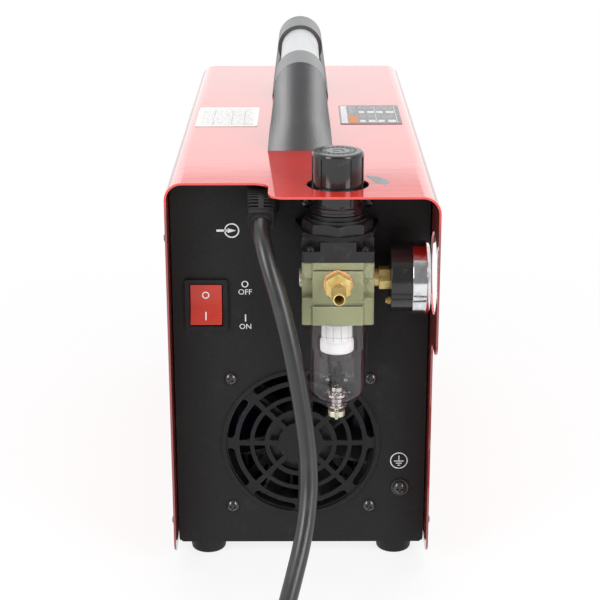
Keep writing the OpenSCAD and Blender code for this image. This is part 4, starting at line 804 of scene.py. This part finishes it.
class Sheetwork:
    """Collects thin flat shapes and turns them into one solid mesh."""

    def __init__(self, thick):
        self.shape = bmesh.new()
        self.thick = thick

    def outline(self, points):
        self.shape.faces.new([self.shape.verts.new((x, y, 0)) for x, y in points])

    def bar(self, x, y, w, h):
        self.outline([(x - w / 2, y - h / 2), (x + w / 2, y - h / 2),
                      (x + w / 2, y + h / 2), (x - w / 2, y + h / 2)])

    def ring(self, x, y, r_in, r_out, start=0.0, sweep=2 * pi, steps=40):
        rim = []
        closed = sweep == 2 * pi
        for k in range(steps + (0 if closed else 1)):
            a = start + sweep * k / steps
            rim.append([self.shape.verts.new((x + r * cos(a), y + r * sin(a), 0))
                        for r in (r_in, r_out)])
        pairs = zip(rim, rim[1:] + rim[:1]) if closed else zip(rim, rim[1:])
        for (a, b), (c, d) in pairs:
            self.shape.faces.new((a, b, d, c))

    def words(self, text, x, y, size):
        """Plain figures and ON or OFF, centred on a point."""
        curve = bpy.data.curves.new("words", "FONT")
        curve.body, curve.size = text, size
        curve.align_x, curve.align_y = "CENTER", "CENTER"
        curve.resolution_u = 3
        mesh = settled(new_object("words", curve))
        mesh.transform(Matrix.Translation((x, y, 0)))
        self.shape.from_mesh(mesh)

    def solid(self, frame_matrix, drape=None):
        """Stands the shapes up to their thickness and puts them in the part."""
        bmesh.ops.remove_doubles(self.shape, verts=self.shape.verts, dist=1e-4)
        bmesh.ops.recalc_face_normals(self.shape, faces=self.shape.faces)
        for face in self.shape.faces:
            if face.normal.z < 0:
                face.normal_flip()
        made = bmesh.ops.extrude_face_region(self.shape, geom=self.shape.faces[:])
        top = [g for g in made["geom"] if isinstance(g, bmesh.types.BMVert)]
        bmesh.ops.translate(self.shape, verts=top, vec=(0, 0, self.thick))
        bmesh.ops.recalc_face_normals(self.shape, faces=self.shape.faces)
        for vert in self.shape.verts:
            place = frame_matrix @ vert.co
            vert.co = spot(*(drape(place) if drape else place))
        return mesh_of("sheetwork", self.shape)


# flat shapes read from behind: their x and y become x and z
FACING_REAR = Matrix(((1, 0, 0, 0), (0, 0, -1, 0), (0, 1, 0, 0), (0, 0, 0, 1)))


def facing_front(y):
    return Matrix(((-1, 0, 0, 0), (0, 0, 1, y), (0, 1, 0, 0), (0, 0, 0, 1)))


def facing_up(z):
    return Matrix(((1, 0, 0, 0), (0, 1, 0, 0), (0, 0, 1, z), (0, 0, 0, 1)))


def facing_right(x, y, z):
    """Flat shapes on a face that looks to +x; their x runs towards +y."""
    return Matrix(((0, 0, 1, x), (1, 0, 0, y), (0, 1, 0, z), (0, 0, 0, 1)))


def add_print(name, shapes, matrix, ink, body="power_unit", drape=None):
    return add_piece(name, shapes.solid(matrix, drape), ink, body, smooth=0)


# ---- Carried-over nodes take their finishes ----


for node, thing in NODES.items():
    thing.data.materials.clear()
    thing.data.materials.append(Finish.made[SLOT_OF[node]])


# ---- Sheet metal, mouldings and castings with eased corners ----

BOOT_X, BOOT_Z = -21.5, 217.5
BOOT_START, BOOT_BEND_R, BOOT_L = 12.0, 32.0, 31.6
BOOT_RIB, BOOT_RIB_PITCH, BOOT_CORE, BOOT_WEB = 1.12, 2.16, 6.2, 1.6


def boot_shell(shape, steps):
    """A closed shell along the boot's bend, from steps of the run's length,
    half width, half height and corner radius."""
    loops = []
    for run, half_w, half_h, corner in steps:
        turn = max(0, run - BOOT_START) / BOOT_BEND_R
        mid_y = -min(run, BOOT_START) - BOOT_BEND_R * sin(turn)
        mid_z = BOOT_Z - BOOT_BEND_R * (1 - cos(turn))
        loops.append([
            shape.verts.new(spot(BOOT_X + u, mid_y - v * sin(turn), mid_z + v * cos(turn)))
            for u, v in rounded_outline(half_w, half_h, corner)
        ])
    for near, far in zip(loops, loops[1:]):
        for k in range(len(near)):
            m = (k + 1) % len(near)
            shape.faces.new((near[k], near[m], far[m], far[k]))
    shape.faces.new(loops[0])
    shape.faces.new(loops[-1])


def make_boot():
    """The lead's boot: a tapered sleeve with close ribs on a core with webs."""
    def half(run):
        return 9.1 - 1.95 * min(1, run / BOOT_L)

    def slab(first, last, ease=0.22):
        boot_shell(shape, [
            (first, half(first) - ease, half(first) - ease, 1.3),
            (first + ease, half(first), half(first), 1.5),
            (last - ease, half(last), half(last), 1.5),
            (last, half(last) - ease, half(last) - ease, 1.3),
        ])

    shape = bmesh.new()
    stops = [BOOT_L * k / 14 for k in range(15)]
    boot_shell(shape, [(s, BOOT_CORE, BOOT_CORE, 5.2) for s in stops])
    boot_shell(shape, [(s, BOOT_WEB, half(s) - 0.12, 0.3) for s in stops[:-1]])
    boot_shell(shape, [(s, half(s) - 0.12, BOOT_WEB, 0.3) for s in stops[:-1]])
    slab(0, 3.4)
    rib = 4.5
    while rib < BOOT_L - 3:
        slab(rib, rib + BOOT_RIB)
        rib += BOOT_RIB_PITCH
    slab(BOOT_L - 2.1, BOOT_L)
    boot_shell(shape, [(BOOT_L - 0.3, 6.3, 6.3, 6.2), (BOOT_L + 0.7, 6.0, 6.0, 5.9),
                       (BOOT_L + 1.3, 5.3, 5.3, 5.2)])
    for first, last, r in ((-1.4, 0.2, 6.2), (-4.2, -1.2, 8.8)):
        boot_shell(shape, [(first, r, r, r - 0.05), (last, r, r, r - 0.05)])
    bmesh.ops.recalc_face_normals(shape, faces=shape.faces)
    piece = add_piece("cord_boot_ribbed", mesh_of("cord_boot_ribbed", shape), "dull_rubber",
                      BODY_OF["cord_boot"], smooth=30)
    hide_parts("cord_boot")


# corners: the ease in millimetres and the number of its steps
EASED = {
    "cover": (0.35, 2), "rear_panel": (0.22, 2), "front_panel": (0.3, 2), "tray": (0.3, 1),
    "feet": (0.8, 3), "switch_housing": (0.5, 3), "rocker": (0.6, 3),
    "coil_tie": (0.25, 2), "plug_body": (0.7, 2), "plug_pins": (0.3, 2),
    "regulator_body": (0.55, 3), "regulator_bonnet": (0.5, 2), "lock_ring": (0.4, 3),
    "regulator_knob": (0.3, 2), "regulator_bracket": (0.4, 2), "air_fittings": (0.25, 2),
    "bowl": (0.35, 2), "drain_knob": (0.3, 2), "filter_element": (0.3, 2),
    "gauge_stem": (0.25, 2), "gauge_case": (0.6, 3), "gauge_bezel": (0.6, 3),
    "earth_screw": (0.2, 2), "handle_rear_arm": (1.2, 3), "handle_front_arm": (1.2, 3),
    "handle_grip": (0.4, 2), "current_knob": (0.5, 2), "display": (0.6, 2),
    "torch_socket": (0.4, 2), "work_socket": (0.5, 2), "fan_frame": (0.5, 2),
    "fan_rotor": (0.3, 2), "solenoid_valve": (0.5, 2), "heatsinks": (0.3, 1),
    "transformer": (0.6, 2), "capacitors": (1.0, 3),
}


# finishes other than the one that a node's slot names
FINISH_OF = {
    "regulator_knob": "knob_moulding", "switch_housing": "switch_black",
    "gauge_case": "knob_moulding", "drain_knob": "pale_brass", "feet": "dull_rubber",
    "drain_valve": "nickel", "filter_baffle": "smoked_disc",
}


def ease_corners():
    for node, (width, segments) in EASED.items():
        eased(node, width, segments)
    declare_lead()
    make_boot()
    eased("drain_valve", 0.25)
    eased("filter_baffle", 0.3)


ease_corners()


# ---- Geometry Nodes: pan-head screws, scale marks ----


def new_tree(name, inputs):
    """An empty geometry tree with named inputs; gives its graph and its links."""
    tree = bpy.data.node_groups.new(name, "GeometryNodeTree")
    tree.interface.new_socket("Points", in_out="INPUT", socket_type="NodeSocketGeometry")
    for label, kind in inputs:
        tree.interface.new_socket(label, in_out="INPUT", socket_type="NodeSocket" + kind)
    tree.interface.new_socket("Mesh", in_out="OUTPUT", socket_type="NodeSocketGeometry")
    graph = Graph(tree)
    entry = tree.nodes.new("NodeGroupInput")
    links = {socket.name: Link(graph, socket) for socket in entry.outputs if socket.name}
    return graph, links


def about_z(graph, angle):
    return graph.node("FunctionNodeAxisAngleToRotation", {},
                      {"Axis": (0.0, 0.0, 1.0), "Angle": angle})


def close_tree(graph, put, thing, turned):
    """Every tree sets its thing at each point, as real geometry with its finish."""
    placed = graph.node("GeometryNodeInstanceOnPoints", {}, {
        "Points": graph.node("GeometryNodeMeshToPoints", {}, {0: put["Points"]}),
        "Instance": thing, "Rotation": turned,
    })
    real = graph.node("GeometryNodeRealizeInstances", {}, {0: placed})
    dressed = graph.node("GeometryNodeSetMaterial", {},
                         {"Geometry": real, "Material": put["Finish"]})
    graph.node("NodeGroupOutput", {}, {"Mesh": dressed})
    return graph.tree


def grown(name, tree, points, values, finish, body):
    """Runs a tree on points of the part and keeps the plain mesh."""
    mesh = bpy.data.meshes.new(name)
    mesh.from_pydata([spot(*p) for p in points], [], [])
    draft = new_object(name, mesh)
    nodes = draft.modifiers.new("grow", "NODES")
    nodes.node_group = tree
    for item in tree.interface.items_tree:
        if item.in_out == "INPUT" and item.name in values:
            nodes[item.identifier] = values[item.name]
        elif item.in_out == "INPUT" and item.name == "Finish":
            nodes[item.identifier] = Finish.made[finish]
    grown_mesh = settled(draft)
    shape = bmesh.new()
    shape.from_mesh(grown_mesh)
    bmesh.ops.remove_doubles(shape, verts=shape.verts, dist=1e-6)
    bmesh.ops.recalc_face_normals(shape, faces=shape.faces)
    shape.to_mesh(grown_mesh)
    shape.free()
    return add_piece(name, grown_mesh, finish, body)


def pan_screw_tree():
    """A domed head with a cross recess on a shank, one at each point."""
    graph, put = new_tree("pan_screws", [
        ("Head Radius", "Float"), ("Head Height", "Float"), ("Shank Radius", "Float"),
        ("Shank Length", "Float"), ("Turned", "Rotation"), ("Seed", "Int"), ("Finish", "Material"),
    ])

    def lifted(thing, z):
        return graph.node("GeometryNodeTransform", {}, {
            "Geometry": thing, "Translation": graph.node("ShaderNodeCombineXYZ", {}, {2: z}),
        })

    radius, height, shank_l = put["Head Radius"], put["Head Height"], put["Shank Length"]
    dome = radius * 1.25
    rod = graph.node("GeometryNodeMeshCylinder", {},
                     {"Vertices": 28, "Radius": radius, "Depth": height})
    ball = graph.node("GeometryNodeMeshUVSphere", {},
                      {"Segments": 28, "Rings": 22, "Radius": dome})
    head = graph.node("GeometryNodeMeshBoolean", {"operation": "INTERSECT", "solver": "EXACT"},
                      {"Mesh 2": [lifted(rod, height * 0.5), lifted(ball, height - dome)]})
    for long_x, long_y in ((1.0, 0.26), (0.26, 1.0)):
        size = graph.node("ShaderNodeCombineXYZ", {},
                          {0: radius * long_x, 1: radius * long_y, 2: height})
        cut = lifted(graph.node("GeometryNodeMeshCube", {}, {"Size": size}), height)
        head = graph.node("GeometryNodeMeshBoolean",
                          {"operation": "DIFFERENCE", "solver": "EXACT"},
                          {"Mesh 1": head, "Mesh 2": cut})
    shank = graph.node("GeometryNodeMeshCylinder", {}, {
        "Vertices": 20, "Radius": put["Shank Radius"], "Depth": shank_l,
    })
    shank = lifted(shank, 0.0002 - shank_l * 0.5)
    screw = graph.node("GeometryNodeJoinGeometry", {}, {"Geometry": [head, shank]})
    spin = graph.node("FunctionNodeRandomValue", {"data_type": "FLOAT"},
                      {2: 0.0, 3: pi / 2, "Seed": put["Seed"]}, out=1)
    turned = graph.node("FunctionNodeRotateRotation", {"rotation_space": "LOCAL"},
                        {0: put["Turned"], 1: about_z(graph, spin)})
    return close_tree(graph, put, screw, turned)


def scale_tree():
    """Bars laid on an arc round each point: a dial's marks."""
    graph, put = new_tree("scale_marks", [
        ("Count", "Int"), ("Radius", "Float"), ("Start", "Float"), ("Sweep", "Float"),
        ("Bar", "Vector"), ("Turned", "Rotation"), ("Finish", "Material"),
    ])
    index = graph.node("GeometryNodeInputIndex")
    angle = put["Start"] + put["Sweep"] * (index / (put["Count"] - 1.0))
    arc = graph.node("GeometryNodePoints", {}, {
        "Count": put["Count"],
        "Position": graph.node("ShaderNodeCombineXYZ", {}, {
            0: angle.math("COSINE", angle) * put["Radius"],
            1: angle.math("SINE", angle) * put["Radius"],
        }),
    })
    bars = graph.node("GeometryNodeInstanceOnPoints", {}, {
        "Points": arc, "Instance": graph.node("GeometryNodeMeshCube", {}, {"Size": put["Bar"]}),
        "Rotation": about_z(graph, angle),
    })
    return close_tree(graph, put, bars, put["Turned"])


PAN_SCREWS = pan_screw_tree()
SCALE_MARKS = scale_tree()


def screws(name, points, head, shank, tilt, seed, node):
    """Pan-head screws at points in place of a node. The head and the shank each
    have a radius and a length in millimetres; tilt is in degrees."""
    piece = grown(name, PAN_SCREWS, points, {
        "Head Radius": head[0] * MM, "Head Height": head[1] * MM,
        "Shank Radius": shank[0] * MM, "Shank Length": shank[1] * MM,
        "Turned": tuple(radians(t) for t in tilt), "Seed": seed,
    }, "black_screw", "power_unit")
    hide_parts(node)


def scale(name, centre, count, radius, start, sweep, bar, turned, finish, body):
    """A scale's bars round a centre, from start over sweep degrees."""
    grown(name, SCALE_MARKS, [centre], {
        "Count": count, "Radius": radius * MM, "Start": radians(start), "Sweep": radians(sweep),
        "Bar": tuple(b * MM for b in bar), "Turned": turned,
    }, finish, body)


FAN_Z, FAN_HALF_PITCH = 65.4, 41.25
CASE_HALF_W = 76
BONNET_TOP, BONNET_HALF_PITCH = 197.0, 15.0
BRACKET_FACE, BRACKET_Z, BRACKET_HALF_PITCH = -2.8, 215.3, 17


def set_screws():
    """Screws that show: fan, cover sides, bonnet and bracket."""
    ends = (-1, 1)
    screws("fan_screw_set", [
        (x * FAN_HALF_PITCH, 0, FAN_Z + z * FAN_HALF_PITCH) for x in ends for z in ends
    ], (3.9, 2.6), (1.9, 24.5), (90, 0, 0), 3, "fan_screws")
    for name, side in (("cover_screws_left", -1), ("cover_screws_right", 1)):
        screws(name, [(side * CASE_HALF_W, y, z) for y in (8, 320) for z in (11, 191)],
               (3.5, 3.1), (1.9, 6), (0, 90 * side, 0), 5 + side, "cover_screws")
    screws("bonnet_screw_set", [
        (REG_X + x * BONNET_HALF_PITCH, REG_Y + y * BONNET_HALF_PITCH, BONNET_TOP)
        for x in ends for y in ends
    ], (3.0, 2.2), (1.6, 13.3), (0, 0, 0), 11, "regulator_screws")
    screws("bracket_screw_set", [
        (REG_X + x * BRACKET_HALF_PITCH, BRACKET_FACE, BRACKET_Z) for x in ends
    ], (3.6, 2.4), (2.0, 9.3), (90, 0, 0), 12, "regulator_screws")


set_screws()


# ---- Printed marks: rear panel, rocker, plates ----


def onto(node, start_y, lift):
    """A drape that lays marks read from behind on a node's own surface."""
    shape = welded(node)
    tree = BVHTree.FromBMesh(shape)
    shape.free()

    def drape(co):
        hit = tree.ray_cast(spot(co.x, start_y, co.z), Vector((0, 1, 0)))[0]
        surface = hit.y / MM - REAR_Y if hit else 0.0
        return Vector((co.x, surface + co.y - lift, co.z))

    return drape


AIR_MARK_Z, EARTH_MARK_X = 197.5, 58.8
SWITCH_WORDS_X, ROCKER_X, INK_LINE = -32.1, -54.7, 0.55


def panel_marks():
    """The input symbol, the switch's words and signs, and the earth symbol."""
    marks = Sheetwork(0.12)
    marks.ring(-39.2, AIR_MARK_Z, 3.6, 4.35)
    marks.bar(-44.6, AIR_MARK_Z, 6.6, 1.3)
    marks.outline([(-41.6, AIR_MARK_Z + 1.4), (-41.6, AIR_MARK_Z - 1.4), (-36.8, AIR_MARK_Z)])
    marks.ring(SWITCH_WORDS_X, 165.3, 1.4, 2.0)
    marks.words("OFF", SWITCH_WORDS_X, 160.4, 4.6)
    marks.bar(SWITCH_WORDS_X + 0.1, 144.6, 0.75, 4.4)
    marks.words("ON", SWITCH_WORDS_X, 139.2, 4.6)
    marks.ring(EARTH_MARK_X, 53.8, 4.7, 5.25)
    marks.bar(EARTH_MARK_X, 55.3, INK_LINE, 3.4)
    for step, width in enumerate((5.6, 3.6, 1.6)):
        marks.bar(EARTH_MARK_X, 53.5 - 1.35 * step, width, INK_LINE)
    add_print("panel_marks", marks, FACING_REAR, "white_ink")


def rocker_marks():
    marks = Sheetwork(0.1)
    marks.ring(ROCKER_X, 159.6, 1.5, 2.1)
    marks.bar(ROCKER_X, 147.6, 0.7, 4.6)
    add_print("rocker_marks", marks, FACING_REAR, "white_ink", "rocker",
              drape=onto("rocker", -30, 0.02))


def rounded_plate(x, y, w, l, thick):
    plate = Sheetwork(thick)
    plate.outline([(x + a, y + b) for a, b in rounded_outline(w / 2, l / 2, 1.5)])
    return plate


def text_rows(shapes, left, right, top, rows, pitch, rng):
    """Rows of short bars, as small print looks from a distance."""
    for row in range(rows):
        x = left
        while x < right - 1.5:
            run = min(rng.uniform(1.8, 5.2), right - x)
            shapes.bar(x + run / 2, top - row * pitch, run, INK_LINE)
            x += run + 0.9


PLATE_W, PLATE_L, PLATE_T = 40, 59, 0.3


def top_plates():
    """Two generic plates on the cover and a curved mark beside the knob."""
    rng = random.Random(4)
    left, right = (-47.5, 157.0), (46.0, 163.5)
    for name, centre, look in (("plate_left", left, "label_film"),
                               ("plate_right", right, "plate_black")):
        plate = rounded_plate(*centre, PLATE_W, PLATE_L, PLATE_T)
        plate = add_print(name, plate, facing_up(CASE_TOP), look)
        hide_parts("top_labels")
    x, y = left
    faint, pale, orange = Sheetwork(0.04), Sheetwork(0.04), Sheetwork(0.04)
    faint.bar(x + 1, y + 25, 30, 1.2)
    for high, rows in ((20, 5), (8, 5), (-4, 5), (-16, 5)):
        text_rows(faint, x - 17, x + 17, y + high, rows, 1.9, rng)
    for line in (22.4, 10.2, -1.8, -13.8, -26):
        faint.bar(x, y + line, 36, 0.35)
    for column in (-9, 3, 11):
        faint.bar(x + column, y - 2, 0.35, 47)
    x, y = right
    pale.bar(x - 17, y, 4, 55)
    orange.bar(x - 11.3, y - 15, 6, 23)
    text_rows(pale, x - 13.6, x - 9.2, y + 24, 10, 2.2, rng)
    for cell_x, cell_w in ((-2.0, 10.0), (10.5, 11.5)):
        for cell_y in (7.0, -21.0):
            pale.bar(x + cell_x - cell_w * 0.32, y + cell_y, cell_w * 0.36, 7)
            pale.bar(x + cell_x + cell_w * 0.28, y + cell_y, cell_w * 0.44, 7)
            text_rows(pale, x + cell_x - cell_w / 2, x + cell_x + cell_w / 2, y + cell_y + 17, 3,
                      3.0, rng)
        pale.bar(x + cell_x + cell_w / 2 + 0.8, y, 0.4, 52)
    for name, shapes, ink in (("plate_left_print", faint, "faint_ink"),
                              ("plate_right_print", pale, "white_ink"),
                              ("plate_spot", orange, "orange_ink")):
        add_print(name, shapes, facing_up(CASE_TOP + PLATE_T), ink)
    mark = Sheetwork(0.05)
    mark.outline([(REG_X + a, REG_Y + b) for a, b in (
        (15.8, 20.3), (17.2, 15.9), (18.6, 11.6), (20.3, 6.6), (21.6, 1.0), (25.3, 0.9),
        (25.4, -4.3), (26.7, -4.4), (26.8, 0.9), (28.8, 1.0), (28.3, 6.2), (26.8, 11.0),
        (24.0, 15.6), (20.4, 18.4),
    )])
    add_print("turn_mark", mark, facing_up(CASE_TOP), "grey_ink")


panel_marks()
rocker_marks()
top_plates()


# ---- Regulator and bowl: small pieces that the solids lack ----


def turned_ring(name, profile, centre, direction, finish, body, steps=48, wobble=None):
    """A closed profile of (radius, height) turned round an axis at a point."""
    shape = bmesh.new()
    ring = []
    for k in range(steps):
        a = 2 * pi * k / steps
        row = []
        for i, (r, h) in enumerate(profile):
            swell = wobble(a, i) if wobble else 1.0
            row.append(shape.verts.new((r * swell * cos(a), r * swell * sin(a), h)))
        ring.append(row)
    for k in range(steps):
        here, there = ring[k], ring[(k + 1) % steps]
        for i in range(len(profile)):
            j = (i + 1) % len(profile)
            shape.faces.new((here[i], there[i], there[j], here[j]))
    stand = Vector((0, 0, 1)).rotation_difference(Vector(direction)).to_matrix().to_4x4()
    move = Matrix.Translation(spot(*centre)) @ stand @ Matrix.Scale(MM, 4)
    bmesh.ops.transform(shape, matrix=move, verts=shape.verts)
    bmesh.ops.recalc_face_normals(shape, faces=shape.faces)
    add_piece(name, mesh_of(name, shape), finish, body)


def regulator_trim():
    """Thread sealant at the barb, the knob's dashes and the drain's nut."""
    rng = random.Random(9)
    swell = [1 + rng.uniform(-0.04, 0.04) for _ in range(48)]
    turned_ring("thread_sealant", [(6.2, 0), (8.0, 0), (8.1, 0.4), (7.6, 0.9), (6.2, 1.0)],
                (REG_X, -41.0, PORT_Z), (0, -1, 0), "sealant", "power_unit",
                wobble=lambda a, i: swell[int(round(a / (2 * pi) * 48)) % 48])
    turned_ring("drain_nut",
                [(1.8, 0), (4.2, 0), (4.6, 0.3), (4.6, 1.2), (4.0, 1.6), (1.8, 1.6)],
                (REG_X, REG_Y, 106.3), (0, 0, 1), "nickel", "bowl", steps=64,
                wobble=lambda a, i: 1 + (0.1 * cos(6 * a) if 0 < i < 5 else 0))
    turned_ring("port_plug", [(2.4, 0), (5.4, 0), (5.4, 1.0), (5.0, 1.4), (2.4, 1.4)],
                (REG_X - 20, REG_Y, GAUGE_Z), (-1, 0, 0), "pale_brass", "power_unit")
    turned_ring("gauge_vent_screw",
                [(0.3, 0), (2.2, 0), (2.2, 1.1), (1.5, 1.5), (1.5, 2.4), (0.3, 2.4)],
                (50.2, REG_Y - 4, 163.8), (-1, 0, 0), "brass", "power_unit", steps=24)
    scale("knob_dashes", (REG_X, REG_Y, KNOB_TOP), 20, 8.6, 0, 342, (0.5, 1.3, 0.16), (0, 0, 0),
          "black_ink", "regulator_knob")
    circle = Sheetwork(0.1)
    circle.ring(REG_X, REG_Y, 7.1, 7.5)
    circle.ring(REG_X, REG_Y, 2.6, 3.0, 0.4, 4.6)
    circle.outline([(REG_X + a, REG_Y + b) for a, b in ((2.0, -1.2), (3.9, -1.3), (3.0, 0.8))])
    add_print("knob_circle", circle, facing_up(KNOB_TOP), "black_ink", "regulator_knob")


regulator_trim()


# ---- Gauge face ----


DIAL_X, DIAL_START, DIAL_SWEEP = 66.8, -45, 270


def gauge_face():
    """Scale marks and plain numbers on the dial."""
    for name, count, radius, bar in (("dial_long_marks", 6, 14.6, (2.8, 0.6, 0.1)),
                                     ("dial_short_marks", 31, 15.3, (1.5, 0.25, 0.1))):
        scale(name, (DIAL_X, REG_Y, GAUGE_Z), count, radius, DIAL_START, DIAL_SWEEP, bar,
              facing_right(0, 0, 0).to_euler()[:], "black_ink", "power_unit")
    figures = Sheetwork(0.06)
    for step in range(6):
        a = radians(225 - 54 * step)
        figures.words(str(2 * step), 11.0 * cos(a), 11.0 * sin(a), 3.2)
    figures.ring(0, 0, 16.4, 16.7, radians(DIAL_START), radians(DIAL_SWEEP))
    add_print("dial_figures", figures, facing_right(DIAL_X, REG_Y, GAUGE_Z), "black_ink")


gauge_face()


# ---- Front: knob scale, display and lamps ----


CURRENT_X, DISPLAY_X, SOCKET_X = 38.0, 24, 38
CONTROLS_Z, LAMPS_Z, SOCKETS_Z = 172.0, 142, 76


def front_face():
    """Seen from the front, so x counts the other way round in the prints."""
    scale("current_scale", (CURRENT_X, FRONT_Y, CONTROLS_Z), 11, 18.6, -60, 300, (2.2, 0.5, 0.16),
          facing_front(0).to_euler()[:], "white_ink", "power_unit")
    marks = Sheetwork(0.12)
    for step, figure in enumerate(("20", "25", "30", "35", "40")):
        a = radians(240 - 75 * step)
        marks.words(figure, -CURRENT_X + 23.5 * cos(a), CONTROLS_Z + 23.5 * sin(a), 4.2)
    for lamp_x in (42, 24, 6):
        marks.ring(lamp_x, LAMPS_Z, 4.2, 4.7)
    marks.bar(SOCKET_X, SOCKETS_Z, 6, 0.8)
    marks.bar(-SOCKET_X, SOCKETS_Z, 6, 0.8)
    marks.bar(-SOCKET_X, SOCKETS_Z, 0.8, 6)
    add_print("front_marks", marks, facing_front(FRONT_Y), "white_ink")
    add_print("display_window", rounded_plate(DISPLAY_X, CONTROLS_Z, 46, 20, 0.25),
              facing_front(FRONT_Y + 2), "smoked_glass")
    digits = Sheetwork(0.05)
    lit = {"4": "bcfg", "0": "abcdef", "8": "abcdefg"}
    for place, figure in enumerate("40"):
        x = DISPLAY_X + (place - 0.5) * 12
        for name, (dx, dz, flat) in {
            "a": (0, 5.6, 1), "g": (0, 0, 1), "d": (0, -5.6, 1), "b": (3.1, 2.8, 0),
            "c": (3.1, -2.8, 0), "e": (-3.1, -2.8, 0), "f": (-3.1, 2.8, 0),
        }.items():
            if name in lit[figure]:
                digits.bar(x + dx, CONTROLS_Z + dz, 4.6 if flat else 1.1, 1.1 if flat else 4.4)
    add_print("display_figures", digits, facing_front(FRONT_Y + 2.25), "segment_red")


front_face()


# ---- Last: the lead's finish ----

lead.data.materials.append(Finish.made["black_rubber"])
bpy.context.view_layer.update()
